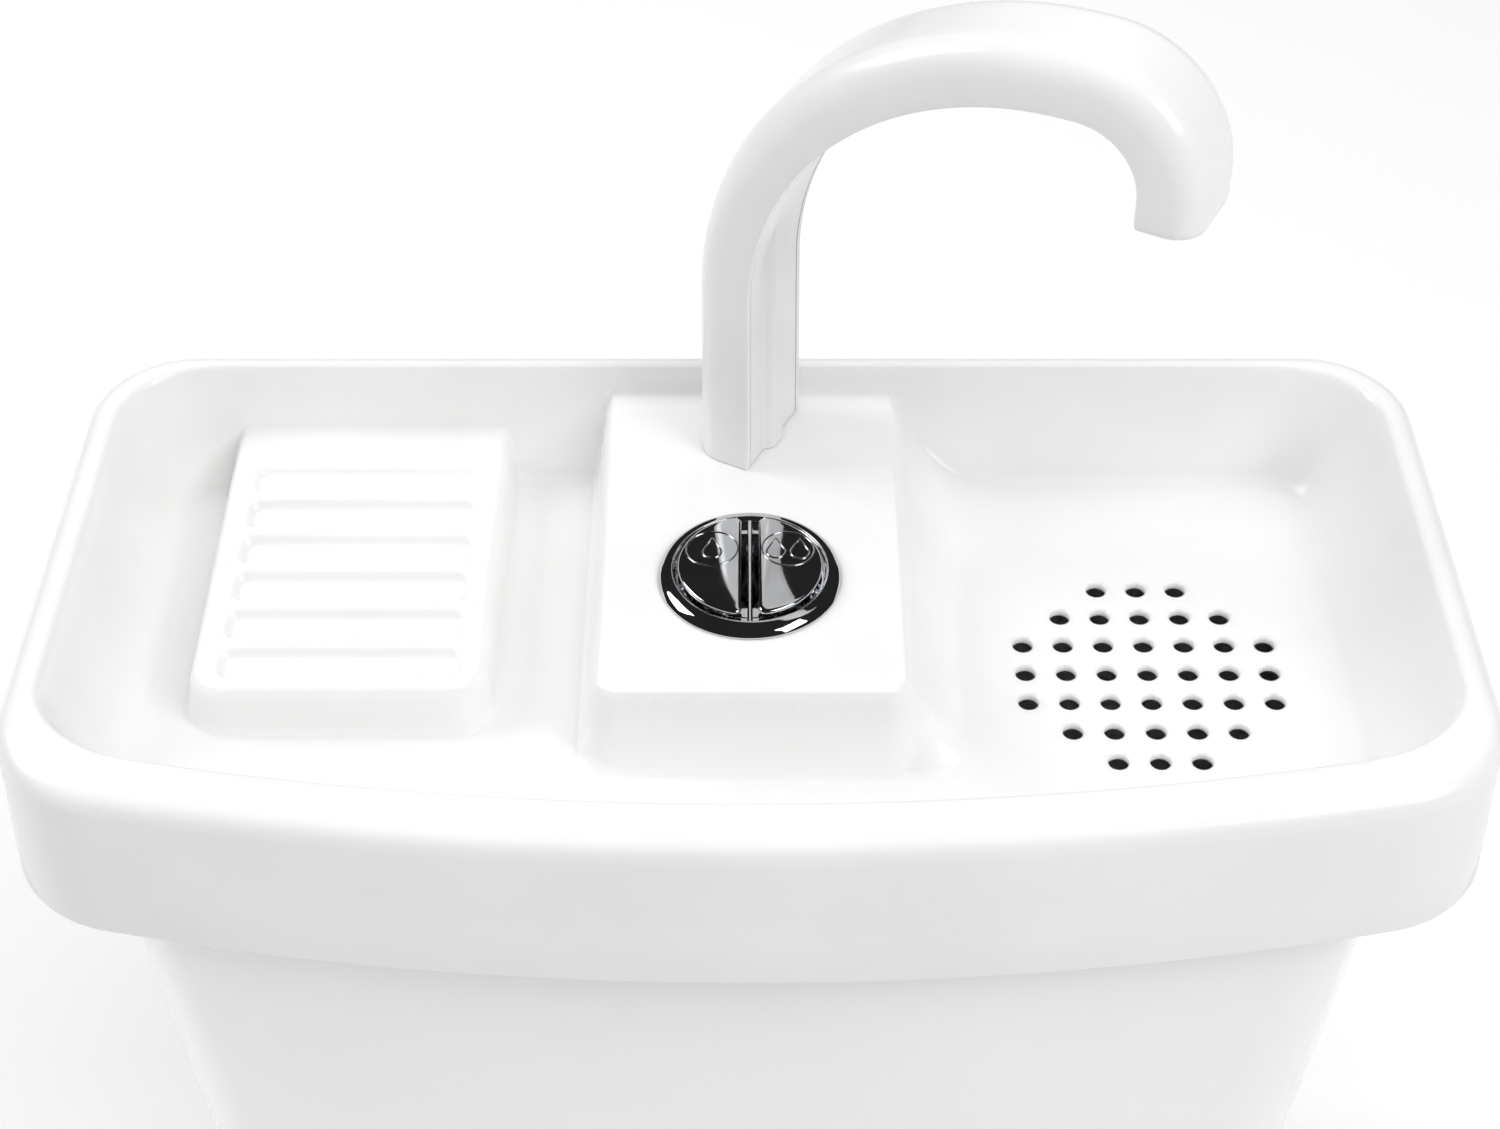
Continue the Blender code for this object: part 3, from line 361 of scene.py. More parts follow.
def clear_hose(name):
    nodes = Nodes(name).start()
    nodes.colours(nodes.noise(40, 3), (0.72, 0.77, 0.77), (0.84, 0.88, 0.88))
    nodes.join(nodes.spread(nodes.noise(120, 4), 0.18, 0.35), nodes.shader.inputs["Roughness"])
    nodes.bump([(nodes.noise(200, 2), 0.00001)])
    nodes.shader.inputs["Transmission Weight"].default_value = 0.35
    nodes.shader.inputs["IOR"].default_value = 1.45
    return nodes.material


FINE_GRAIN = 0.00001
MATERIALS = {
    "white_plastic": moulded_plastic(
        "white_plastic", (0.85, 0.85, 0.845), (0.88, 0.88, 0.877), (0.17, 0.25)
    ),
    "glazed_ceramic": glazed_ceramic("glazed_ceramic"),
    "chrome": metal("chrome", (0.70, 0.71, 0.73), (0.80, 0.81, 0.83), (0.03, 0.06)),
    "valve_plastic": moulded_plastic(
        "valve_plastic", (0.74, 0.76, 0.78), (0.82, 0.84, 0.85), (0.35, 0.5), FINE_GRAIN
    ),
    "blue_plastic": moulded_plastic(
        "blue_plastic", (0.05, 0.17, 0.42), (0.08, 0.23, 0.52), (0.32, 0.48), FINE_GRAIN
    ),
    "black_rubber": rubber("black_rubber", (0.018, 0.018, 0.018), (0.045, 0.045, 0.045), 0.00002, 500),
    "sponge_rubber": rubber("sponge_rubber", (0.03, 0.03, 0.032), (0.085, 0.085, 0.09), 0.0004, 900),
    "spring_steel": metal(
        "spring_steel", (0.5, 0.51, 0.53), (0.66, 0.67, 0.69), (0.22, 0.36), 0.00001, (1, 1, 0.1)
    ),
    "brass": metal("brass", (0.66, 0.48, 0.2), (0.80, 0.62, 0.3), (0.25, 0.42), 0.00002, (0.2, 0.2, 1)),
    "clear_hose": clear_hose("clear_hose"),
}


# Sink basin: one smooth height over the plan, with the rim and skirt lofted around it

BOWL_PROFILE = smooth_curve(
    [(0, 0), (0.09, 0.0006), (0.20, 0.0022), (0.36, 0.007), (0.68, 0.022)]
    + [(0.90, 0.0365), (0.955, 0.0391), (1, 0.040)]
)
PEDESTAL_LEFT = smooth_curve(
    [(-1, 0), (0, 0), (0.0008, 0.00015), (0.0018, 0.001), (0.0026, 0.003)]
    + [(0.0045, 0.014), (0.006, 0.024), (0.009, 0.042)]
)
PEDESTAL_FRONT = smooth_curve(
    [(-1, 0), (0, 0), (0.0008, 0.00015), (0.0018, 0.001), (0.0025, 0.003)]
    + [(0.0037, 0.014), (0.005, 0.024), (0.0078, 0.042)]
)
PEDESTAL_RIGHT = smooth_curve(
    [
        (-1, 0),
        (0, 0),
        (0.001, 0.0002),
        (0.0025, 0.0018),
        (0.0045, 0.006),
        (0.0085, 0.014),
        (0.0165, 0.0235),
        (0.024, 0.028),
        (0.031, 0.0305),
        (0.045, 0.036),
    ]
)
SOAP_SIDE = smooth_curve(
    [(-1, 0), (0, 0), (0.0009, 0.0002), (0.0019, 0.001), (0.0028, 0.003)]
    + [(0.0040, 0.010), (0.0052, 0.017), (0.007, 0.027)]
)
PEDESTAL_EDGES = {"left": -0.0445, "right": 0.0455, "front": -0.0375, "corner": 0.005}
SOAP_EDGES = {"left": -0.1675, "right": -0.0830, "front": -0.0235, "corner": 0.009}
POCKET_FRONTS = [-0.0205 + 0.0172 * i for i in range(6)]
POCKET = {"left": -0.1620, "right": -0.0880, "length": 0.0130, "corner": 0.0045, "deep": 0.0022}
RIB_RISE = 0.0012


def half_width_at(y):
    """Half the skirt's width at y, between its two corners."""
    share = np.clip((0.079 - y) / (0.079 + 0.054), 0, 1)
    return HALF_WIDTH_BACK + (HALF_WIDTH - HALF_WIDTH_BACK) * share


def front_at(x):
    return FRONT + BOW_RADIUS - np.sqrt(BOW_RADIUS**2 - x**2)


def bowl_height(x, y, wall):
    """Floor, walls and rim. The wall sets how far below the face the surface lies."""
    reach = wall - FLOOR_CORNER
    beyond_side = np.abs(x) - (half_width_at(y) - FLOOR_INSET["side"] + reach)
    beyond_back = y - (BACK - FLOOR_INSET["back"] + reach)
    beyond_front = front_at(x) + FLOOR_INSET["front"] - reach - y
    run_y = np.where(beyond_back > beyond_front, BOWL_RUN["back"], BOWL_RUN["front"])
    across = np.maximum(beyond_side, 0)
    along = np.maximum(np.maximum(beyond_back, beyond_front), 0)
    total = across**2 + along**2 + 1e-12
    run = (BOWL_RUN["side"] * across**2 + run_y * along**2) / total
    out = (np.sqrt(total) - FLOOR_CORNER) / run
    return FLOOR_TOP - wall + BOWL_PROFILE(np.clip(out, 0, 1))


def block_height(x, y, wall, edges, top, left_side, right_side, front_side):
    """Raised block whose walls fall away by their own profiles. It runs on past the back wall."""
    corner = edges["corner"]
    left, right = edges["left"] + wall + corner, edges["right"] - wall - corner
    across = np.maximum(np.maximum(left - x, x - right), 0)
    along = np.maximum(edges["front"] + wall + corner - y, 0)
    total = across**2 + along**2 + 1e-12
    out = np.sqrt(total) - corner
    side = np.where(x > (left + right) / 2, right_side(out), left_side(out))
    fall = (side * across**2 + front_side(out) * along**2) / total
    return top - wall - fall


def soap_relief(x, y):
    """Pockets and the ribs between them, as a change of height on the soap dish's top."""
    change = np.zeros_like(x)
    for front in POCKET_FRONTS:
        corner = POCKET["corner"]
        across = np.maximum(POCKET["left"] + corner - x, x - (POCKET["right"] - corner))
        along = np.maximum(front + corner - y, y - (front + POCKET["length"] - corner))
        outside = np.hypot(np.maximum(across, 0), np.maximum(along, 0))
        out = outside + np.minimum(np.maximum(across, along), 0) - corner
        change -= POCKET["deep"] * smooth_step(0.15 - out / 0.0026)
    for front in POCKET_FRONTS[1:]:
        from_middle = y - (front - 0.00235)
        past_left = SOAP_EDGES["left"] - 0.0008
        past_right = SOAP_EDGES["right"] + 0.0008
        inside = smooth_step((x - past_left) / 0.003) * smooth_step((past_right - x) / 0.003)
        change += RIB_RISE * np.exp(-((from_middle / 0.0026) ** 2)) * inside
    return change


def basin_height(x, y, wall=0.0):
    bowl = bowl_height(x, y, wall)
    pedestal = block_height(
        x, y, wall, PEDESTAL_EDGES, PEDESTAL_TOP, PEDESTAL_LEFT, PEDESTAL_RIGHT, PEDESTAL_FRONT
    )
    soap = block_height(x, y, wall, SOAP_EDGES, SOAP_TOP, SOAP_SIDE, SOAP_SIDE, SOAP_SIDE)
    if not wall:
        soap += soap_relief(x, y)
    fillet = 0.004 - 0.0032 * smooth_step((y - 0.085) / 0.010)  # small where the spout turns by the back wall
    height = smooth_max(smooth_max(bowl, pedestal, fillet), soap, 0.003)
    height = np.minimum(height, RIM_TOP - wall)
    if not wall:
        nearest = np.full(len(x), 1.0)
        for centre in drain_centres():
            nearest = np.minimum(nearest, np.hypot(x - centre[0], y - centre[1]))
        height -= 0.0009 * smooth_step((0.0046 - nearest) / 0.0013)
    return height


def thinned(groups, cell=0.0016):
    """Points of each (points, gap) group in turn, without those nearer than gap to one already kept."""
    kept, cells = [], {}
    for points, gap in groups:
        for x, y in points:
            column, row = int(x // cell), int(y // cell)
            near = (
                kept[k]
                for i in (column - 1, column, column + 1)
                for j in (row - 1, row, row + 1)
                for k in cells.get((i, j), ())
            )
            if gap and any((x - a) ** 2 + (y - b) ** 2 < gap * gap for a, b in near):
                continue
            cells.setdefault((column, row), []).append(len(kept))
            kept.append((x, y))
    return kept


def basin_points():
    """Points over the plan, close together along every edge, and the loops that bound the mesh."""
    loops = [sink_line(EDGE_INSET)]
    loops += [circle(centre, HOLE_RADIUS, 20) for centre in drain_centres()]
    loops.append(circle(BUTTON, 0.0200, 72))
    loops.append(circle(SPOUT, 0.0105, 40))
    groups = [(np.vstack(loops), 0)]
    hole_rings = [
        circle(centre, radius, 20) for centre in drain_centres() for radius in (0.0036, 0.0041, 0.0047)
    ]
    groups.append((np.vstack(hole_rings), 0.0003))
    for share in (1.0, 0.945, 0.89, 0.835, 1.055, 0.78, 0.70, 0.60, 0.50, 0.40, 0.30, 0.22, 0.15, 0.08, 0.0):
        inset = {side: FLOOR_INSET[side] - BOWL_RUN[side] * share for side in FLOOR_INSET}
        spacing = 0.0016 if share > 0.8 else 0.0022
        line = sink_line(inset["side"], inset["back"], inset["front"], spacing)
        groups.append((line, 0.0006))
    behind = 0.130
    for left, right, front in (
        (0, 0, 0),
        (0.0008, 0.001, 0.0008),
        (0.0016, 0.0022, 0.0015),
        (0.0023, 0.0035, 0.0022),
        (0.0030, 0.0050, 0.0028),
        (0.0040, 0.0075, 0.0035),
        (0.0052, 0.0110, 0.0045),
        (0.0066, 0.0150, 0.0056),
        (0.0080, 0.0200, 0.0070),
        (0.0100, 0.0260, 0.0090),
    ):
        line = rounded_rectangle(
            PEDESTAL_EDGES["left"] - left,
            PEDESTAL_EDGES["right"] + right,
            PEDESTAL_EDGES["front"] - front,
            behind,
            PEDESTAL_EDGES["corner"] + left,
            0.0014,
        )
        groups.append((line[line[:, 1] < 0.104], 0.0007))
    for out in (0, 0.0008, 0.0015, 0.0022, 0.0029, 0.0037, 0.0045, 0.0053, 0.0062, 0.0075, -0.001, 0.0095):
        line = rounded_rectangle(
            SOAP_EDGES["left"] - out,
            SOAP_EDGES["right"] + out,
            SOAP_EDGES["front"] - out,
            behind,
            SOAP_EDGES["corner"] + out,
            0.0014,
        )
        groups.append((line[line[:, 1] < 0.098], 0.0007))
    for front in POCKET_FRONTS:
        for grow in (0.0004, -0.0003, -0.0010, -0.0017, -0.0024, 0.0012):
            line = rounded_rectangle(
                POCKET["left"] - grow,
                POCKET["right"] + grow,
                front - grow,
                front + POCKET["length"] + grow,
                POCKET["corner"] + grow,
                0.0013,
            )
            groups.append((line, 0.0006))
    grid_x, grid_y = np.meshgrid(np.arange(-0.215, 0.2151, 0.0028), np.arange(-0.109, 0.1091, 0.0028))
    grid_x[::2] += 0.0014
    groups.append((np.stack([grid_x.ravel(), grid_y.ravel()], 1), 0.0015))
    return groups, loops


def inside_loop(points, loop):
    """Which points lie in a closed loop."""
    x, y = points[:, 0], points[:, 1]
    odd = np.zeros(len(points), bool)
    for (ax, ay), (bx, by) in zip(loop, np.roll(loop, -1, axis=0)):
        crosses = (ay > y) != (by > y)
        if crosses.any():
            odd ^= crosses & (x < (bx - ax) * (y - ay) / (by - ay + 1e-15) + ax)
    return odd


def basin_plan():
    """Triangles over the plan, with the holes left open. Returns points, triangles and the bounding loops."""
    groups, loops = basin_points()
    points = np.array(thinned(groups))
    bound = sum(len(loop) for loop in loops)
    free = points[bound:]
    free = free[inside_loop(free, sink_line(EDGE_INSET + 0.0007))]
    for centre, radius in hole_sizes():
        free = free[np.hypot(free[:, 0] - centre[0], free[:, 1] - centre[1]) > radius + 0.0002]
    points = np.vstack([points[:bound], free])
    edges, spans, first = [], [], 0
    for loop in loops:
        last = first + len(loop)
        edges += [(i, i + 1 if i + 1 < last else first) for i in range(first, last)]
        spans.append((first, last))
        first = last
    flat = [Vector(p) for p in points]
    made, _, triangles, _, _, _ = geometry.delaunay_2d_cdt(flat, edges, [], 1, 1e-7)
    made = np.array([tuple(v) for v in made])
    triangles = np.array([tuple(t) for t in triangles])
    middles = made[triangles].mean(axis=1)
    keep = np.ones(len(triangles), bool)
    for centre, radius in hole_sizes():
        keep &= np.hypot(middles[:, 0] - centre[0], middles[:, 1] - centre[1]) > radius
    return made, triangles[keep], spans


def hole_sizes():
    sizes = [(centre, HOLE_RADIUS) for centre in drain_centres()]
    return sizes + [(BUTTON, 0.0200), (SPOUT, 0.0105)]


def skirt_rings(count):
    """From the rim's flat, over the edge, down the skirt, under it and up inside to the rim's underside."""
    rings = []
    over, down = EDGE_INSET - SKIRT_DRAFT, 0.0068
    for angle in np.radians(np.linspace(82, 0, 10)):
        inset = SKIRT_DRAFT + over * (1 - math.cos(angle))
        rings.append((inset, RIM_TOP - down * (1 - math.sin(angle))))
    for share in (0.33, 0.66):
        rings.append((SKIRT_DRAFT * (1 - share), RIM_TOP - down - share * (RIM_TOP - down - SKIRT_BOTTOM)))
    edge = 0.0009
    for angle in np.radians((0, 30, 60, 90)):
        rings.append((edge * (1 - math.cos(angle)), SKIRT_BOTTOM + edge * (1 - math.sin(angle))))
    for angle in np.radians((90, 45, 0)):
        rings.append((WALL - edge * (1 - math.cos(angle)), SKIRT_BOTTOM + edge * (1 - math.sin(angle))))
    inside = EDGE_INSET - SKIRT_DRAFT - WALL
    for angle in np.radians((0, 30, 60)):
        rings.append((SKIRT_DRAFT + WALL + inside * (1 - math.cos(angle)), 0.3765 + 0.0035 * math.sin(angle)))
    return [at_height(sink_line(inset, count=count), height) for inset, height in rings]


def make_basin():
    plan, triangles, spans = basin_plan()
    x, y = plan[:, 0], plan[:, 1]
    top = np.column_stack([plan, basin_height(x, y)])
    bottom = np.column_stack([plan, basin_height(x, y, WALL)])
    rim_count = spans[0][1] - spans[0][0]
    top[spans[0][0] : spans[0][1], 2] = RIM_TOP
    rings = skirt_rings(rim_count)
    size = len(plan)
    vertices = np.vstack([top, bottom] + rings)
    faces = [tuple(t) for t in triangles]
    faces += [(c + size, b + size, a + size) for a, b, c in triangles]
    for first, last in spans[1:]:
        for i in range(first, last):
            j = i + 1 if i + 1 < last else first
            faces.append((i, j, j + size, i + size))
    starts = [0] + [2 * size + row * rim_count for row in range(len(rings))] + [size]
    for low, high in zip(starts, starts[1:]):
        for i in range(rim_count):
            j = (i + 1) % rim_count
            faces.append((low + j, low + i, high + i, high + j))
    return new_piece("sink_basin_shell", vertices, faces, "sink", "white_plastic", ["sink_basin"], 75)


def make_ribs():
    """Ribs between the bowl and the skirt, which stand on the tank's rim."""
    low, highest, inset = 0.3420, 0.3765, 0.0025
    lines = []
    for y in (-0.045, 0.005, 0.060):
        reach = float(half_width_at(y)) - inset
        lines += [((side * 0.175, y), (side * reach, y)) for side in (-1, 1)]
    lines += [((x, -0.078), (x, float(front_at(x)) + inset)) for x in (-0.12, 0.0, 0.12)]
    lines += [((x, 0.085), (x, BACK - inset)) for x in (-0.12, 0.105)]
    for number, (start, end) in enumerate(np.array(lines)):
        along = (end - start) / np.hypot(*(end - start))
        aside = 0.0015 * np.array((-along[1], along[0]))
        places = start + np.linspace(0, 1, 20)[:, None] * (end - start)
        tops = np.minimum(basin_height(places[:, 0], places[:, 1], WALL) + 0.001, highest)
        rings = []
        for place, top in zip(places, tops):
            if top > low + 0.001:
                left, right = place - aside, place + aside
                rings.append(np.array([(*left, low), (*right, low), (*right, top), (*left, top)]))
        vertices, faces = loft(rings)
        fix_normals(new_piece(f"support_rib_{number}", vertices, faces, "sink", "white_plastic"))


# Tank


def tank_line(height, inset, count):
    share = (height - TANK_BOTTOM) / (TANK_TOP - TANK_BOTTOM)
    half = 0.1665 + 0.0300 * share - inset
    front = -0.0860 - 0.0140 * share + inset
    line = bowed_line(half, half, front, 0.0980 - inset, 0.900 - inset, 0.038 - inset, 0.030 - inset)
    return at_height(resample(line, count=count), height)


def make_tank():
    count = 240
    rings = []
    for angle in np.radians(np.linspace(0, 90, 7)):
        height = TANK_BOTTOM + 0.008 * (1 - math.cos(angle))
        rings.append(tank_line(height, 0.008 * (1 - math.sin(angle)), count))
    for height in np.linspace(TANK_BOTTOM + 0.03, TANK_TOP - 0.02, 8):
        rings.append(tank_line(height, 0.0, count))
    for angle in np.radians(np.linspace(0, 90, 6)):
        inset = 0.003 * (1 - math.cos(angle))
        rings.append(tank_line(TANK_TOP - 0.003 * (1 - math.sin(angle)), inset, count))
    for angle in np.radians(np.linspace(90, 0, 5)):
        inset = TANK_WALL - 0.002 * (1 - math.cos(angle))
        rings.append(tank_line(TANK_TOP - 0.002 * (1 - math.sin(angle)), inset, count))
    for height in np.linspace(TANK_TOP - 0.02, TANK_FLOOR + 0.03, 5):
        rings.append(tank_line(height, TANK_WALL, count))
    for angle in np.radians(np.linspace(90, 0, 6)):
        height = TANK_FLOOR + 0.008 * (1 - math.cos(angle))
        rings.append(tank_line(height, TANK_WALL + 0.008 * (1 - math.sin(angle)), count))
    vertices, faces = loft(rings)
    tank = new_piece("cistern_body", vertices, faces, "cistern", "glazed_ceramic", ["tank_shell"], 45)
    holes = [(OUTLET, 0.0325), (FILL, 0.0125)]
    holes += [((side * BOLT_X, OUTLET[1]), 0.0055) for side in (-1, 1)]
    for centre, radius in holes:
        rings = [at_height(circle(centre, radius, 48), height) for height in (0.02, 0.07)]
        cutter_vertices, cutter_faces = loft(rings)
        carve(tank, cutter_vertices, cutter_faces)
    return tank


def carve(obj, vertices, faces):
    """Cuts a closed shape out of a piece's mesh."""
    mesh = bpy.data.meshes.new("cutter")
    mesh.from_pydata([tuple(v) for v in vertices], [], [tuple(f) for f in faces])
    cutter = bpy.data.objects.new("cutter", mesh)
    bpy.context.scene.collection.objects.link(cutter)
    modifier = obj.modifiers.new("cut", "BOOLEAN")
    modifier.operation = "DIFFERENCE"
    modifier.solver = "EXACT"
    modifier.object = cutter
    bpy.context.view_layer.update()
    evaluated = obj.evaluated_get(bpy.context.evaluated_depsgraph_get())
    made = bpy.data.meshes.new_from_object(evaluated)
    obj.modifiers.remove(modifier)
    old = obj.data
    obj.data = made
    bpy.data.meshes.remove(old)
    bpy.data.objects.remove(cutter)
    bpy.data.meshes.remove(mesh)


# Spout

SHOULDER_Z = 0.4364
SHOULDER_RADIUS = 0.1075
CURL_RADIUS = 0.0284
CREST_RUN = 0.0022
TIP_DROP = 0.0100
SPOUT_HALF = 0.01655  # at the tip
SPOUT_THICK = 0.0181
SPOUT_CORNER = 0.0088
SPOUT_LIP = 0.0022
SPOUT_FOOT_SCALE = 1.11
SPOUT_RECESS = 0.0042  # of the inner face, in the bend
FOOT = PEDESTAL_TOP + 0.0003


def spout_path():
    """Middle line as rows of reach, height and heading, the heading as an angle above the reach."""
    rows = [(0.0, z, math.pi / 2) for z in np.linspace(FOOT, SHOULDER_Z, 12)]
    for angle in np.linspace(0, math.pi / 2, 56)[1:]:
        reach = SHOULDER_RADIUS * (1 - math.cos(angle))
        rows.append((reach, SHOULDER_Z + SHOULDER_RADIUS * math.sin(angle), math.pi / 2 - angle))
    crest = SHOULDER_Z + SHOULDER_RADIUS
    for angle in np.linspace(0, math.pi / 2, 28):
        reach = SHOULDER_RADIUS + CREST_RUN + CURL_RADIUS * math.sin(angle)
        rows.append((reach, crest - CURL_RADIUS * (1 - math.cos(angle)), -angle))
    reach, height, heading = rows[-1]
    for drop in (0.35, 0.8, 0.95, 1.0):
        rows.append((reach, height - TIP_DROP * drop, heading))
    return rows


ALONG = np.array((math.cos(SPOUT_TURN), math.sin(SPOUT_TURN), 0))
ACROSS = np.array((-math.sin(SPOUT_TURN), math.cos(SPOUT_TURN), 0))


def taper(path):
    """Scale of the section along the path, from the foot's down to one at the tip."""
    place = np.array([(reach, height) for reach, height, _ in path])
    run = np.concatenate([[0], np.cumsum(np.hypot(*np.diff(place, axis=0).T))])
    return 1 + (SPOUT_FOOT_SCALE - 1) * (1 - run / run[-1])


def sweep(section, path, least_reach=None):
    """Section of (across, outwards) points along the path. least_reach pushes points out along the reach."""
    rings = []
    for row, ((reach, height, heading), scale) in enumerate(zip(path, taper(path))):
        shape = section(row) if callable(section) else section
        across, outwards = np.array(shape).T * scale
        reaches = reach - outwards * math.sin(heading)
        heights = height + outwards * math.cos(heading)
        if least_reach is not None:
            reaches = np.maximum(reaches, least_reach(across, outwards))
        place = np.outer(across, ACROSS) + np.outer(reaches, ALONG)
        place[:, 0] += SPOUT.x
        place[:, 1] += SPOUT.y
        place[:, 2] = heights
        rings.append(place)
    return loft(rings)


def ridge_reach(across, outwards):
    """Least reach of the inner face: an upright ridge, soft on one side, which ends in the bend."""
    soft = smooth_step((across + 0.0085) / 0.0052)
    steep = smooth_step((0.0026 - across) / 0.0012)
    on_face = outwards < outwards.min() + 0.001
    return np.where(on_face, 0.0080 + 0.0045 * soft * steep, 0.0)


def shell_section(inset=0.0):
    """Flat-sided channel with rounded outer corners and softened lips."""
    half, thick, corner, lip = SPOUT_HALF - inset, SPOUT_THICK / 2 - inset, SPOUT_CORNER, 0.0005
    outer = []
    for angle in np.radians(np.linspace(270, 180, 4)):
        outer.append((-half + lip + lip * math.cos(angle), -thick + lip + lip * math.sin(angle)))
    for angle in np.radians(np.linspace(180, 90, 14)):
        outer.append((-half + corner + corner * math.cos(angle), thick - corner + corner * math.sin(angle)))
    outer += [(a, thick) for a in np.linspace(-half + corner, half - corner, 5)[1:-1]]
    for angle in np.radians(np.linspace(90, 0, 14)):
        outer.append((half - corner + corner * math.cos(angle), thick - corner + corner * math.sin(angle)))
    for angle in np.radians(np.linspace(0, -90, 4)):
        outer.append((half - lip + lip * math.cos(angle), -thick + lip + lip * math.sin(angle)))
    inner_half, inner_top = SPOUT_HALF - SPOUT_LIP, SPOUT_THICK / 2 - SPOUT_LIP
    inner_corner = SPOUT_CORNER - SPOUT_LIP
    inner = [(inner_half, -thick)]
    for angle in np.radians(np.linspace(0, 90, 6)):
        a = inner_half - inner_corner * (1 - math.cos(angle))
        inner.append((a, inner_top - inner_corner * (1 - math.sin(angle))))
    inner += [(-a, b) for a, b in reversed(inner)]
    return outer + inner


def make_spout():
    path = spout_path()
    last = len(path) - 1

    def shell_at(row):
        return shell_section({last: 0.0006, last - 1: 0.0002}.get(row, 0.0))

    vertices, faces = sweep(shell_at, path)
    new_piece("spout_arm", vertices, faces, "spout", "white_plastic", ["spout_shell"], 42)

    half = SPOUT_HALF - SPOUT_LIP - 0.0004
    across = np.concatenate(
        [
            np.linspace(-half, -0.0082, 10)[:-1],
            np.linspace(-0.0082, 0.0008, 26),
            np.linspace(0.0010, 0.0026, 10),
            np.linspace(0.0026, half, 12)[1:],
        ]
    )

    def face_at(row):
        """Flush at the foot, and sunk between the lips in the bend."""
        turned = math.pi / 2 - path[row][2]
        face = -SPOUT_THICK / 2 + 0.0001 + SPOUT_RECESS * smooth_step((turned - 0.5) / 0.8)
        back = face + 0.0014
        return [(a, face) for a in across] + [(half, back), (0.0, back), (-half, back)]

    vertices, faces = sweep(face_at, path, ridge_reach)
    new_piece("spout_inner_face", vertices, faces, "spout", "white_plastic", ["spout_inner_cover"], 50)


# Push buttons


def turned_piece(name, centre, profile, body, slot, replaces=(), steps=96, closed=True, sharp=40):
    """Profile of (radius, height) turned about an upright axis."""
    profile = list(profile)
    count = len(profile)
    vertices, faces = [], []
    for i in range(steps):
        angle = 2 * math.pi * i / steps
        vertices += [
            (centre[0] + r * math.cos(angle), centre[1] + r * math.sin(angle), z) for r, z in profile
        ]
    for i in range(steps):
        j = (i + 1) % steps
        for k in range(count if closed else count - 1):
            m = (k + 1) % count
            faces.append((i * count + k, j * count + k, j * count + m, i * count + m))
    obj = new_piece(name, vertices, faces, body, slot, replaces, sharp)
    fix_normals(obj)
    return obj


def fix_normals(obj):
    bm = bmesh.new()
    bm.from_mesh(obj.data)
    bmesh.ops.remove_doubles(bm, verts=bm.verts, dist=1e-7)
    bmesh.ops.recalc_face_normals(bm, faces=bm.faces)
    bm.to_mesh(obj.data)
    bm.free()


def rounded_profile(points, radius, steps=3):
    """Closed profile with each corner cut by a small round."""
    points = [np.array(p, float) for p in points]
    made = []
    for before, here, after in zip([points[-1]] + points[:-1], points, points[1:] + [points[0]]):
        back, on = before - here, after - here
        size = min(radius, np.hypot(*back) / 2.2, np.hypot(*on) / 2.2)
        start = here + back / np.hypot(*back) * size
        end = here + on / np.hypot(*on) * size
        for t in np.linspace(0, 1, steps + 1):
            made.append(tuple((1 - t) ** 2 * start + 2 * t * (1 - t) * here + t**2 * end))
    return made


def make_bezel():
    """Low ring around the buttons, with its barrel, its spring seat and the bar between the buttons."""
    top = PEDESTAL_TOP + 0.0003
    profile = [
        (0.0244, top + 0.0032),
        (0.0262, top + 0.0027),
        (0.0276, top + 0.0016),
        (0.0285, top + 0.0004),
        (0.0285, top),
        (0.0190, top),
        (0.0190, 0.3450),
        (0.0165, 0.3450),
        (0.0165, top - 0.0020),
        (0.0227, top + 0.0006),
        (0.0227, top + 0.0024),
        (0.0236, top + 0.0027),
        (0.0239, top + 0.0032),
    ]
    profile = rounded_profile(profile, 0.0006, 4)
    turned_piece("button_ring", BUTTON, profile, "sink", "chrome", ["button_bezel"], 160)
    section = [(-0.0008, top + 0.0006), (0.0008, top + 0.0006), (0.0008, top + 0.0019)]
    section += [(0.0005, top + 0.0023), (0.0, top + 0.0024), (-0.0005, top + 0.0023), (-0.0008, top + 0.0019)]
    ends = (BUTTON.y - 0.0230, BUTTON.y + 0.0230)
    vertices, faces = loft([np.array([(x, y, z) for x, z in section]) for y in ends])
    fix_normals(new_piece("button_divider", vertices, faces, "sink", "chrome"))
    low = SPRING_SEAT - 0.0015
    seat = [(0.0001, SPRING_SEAT), (0.0168, SPRING_SEAT), (0.0168, low), (0.0001, low)]
    turned_piece("button_spring_seat", BUTTON, seat, "sink", "chrome", steps=64)


def half_moon(side, inset):
    """Outline of one button in plan, with rounded tips."""
    radius, near, tip = 0.0222 - inset, 0.0026 + inset, 0.0022 - inset * 0.6
    across = near + tip
    along = math.sqrt((radius - tip) ** 2 - across**2)
    swing = math.atan2(along, across)
    arc = np.linspace(-swing, swing, 72)
    curve = np.stack([radius * np.cos(arc), radius * np.sin(arc)], 1)
    turn = np.linspace(swing, math.pi, 14)[1:]
    back_tip = np.stack([across + tip * np.cos(turn), along + tip * np.sin(turn)], 1)
    straight = np.stack([np.full(22, near), np.linspace(along, -along, 24)[1:-1]], 1)
    front_tip = back_tip[::-1] * (1, -1)
    line = np.vstack([curve, back_tip, straight, front_tip[:-1]])
    line[:, 0] *= side
    return line + np.array(BUTTON)


def crown(line, height):
    """Ring on the face that both buttons share, which is slightly domed."""
    ring = at_height(line, height)
    ring[:, 2] += 0.0004 - 0.0011 * ((line - np.array(BUTTON)) ** 2).sum(axis=1) / 0.0222**2
    return ring


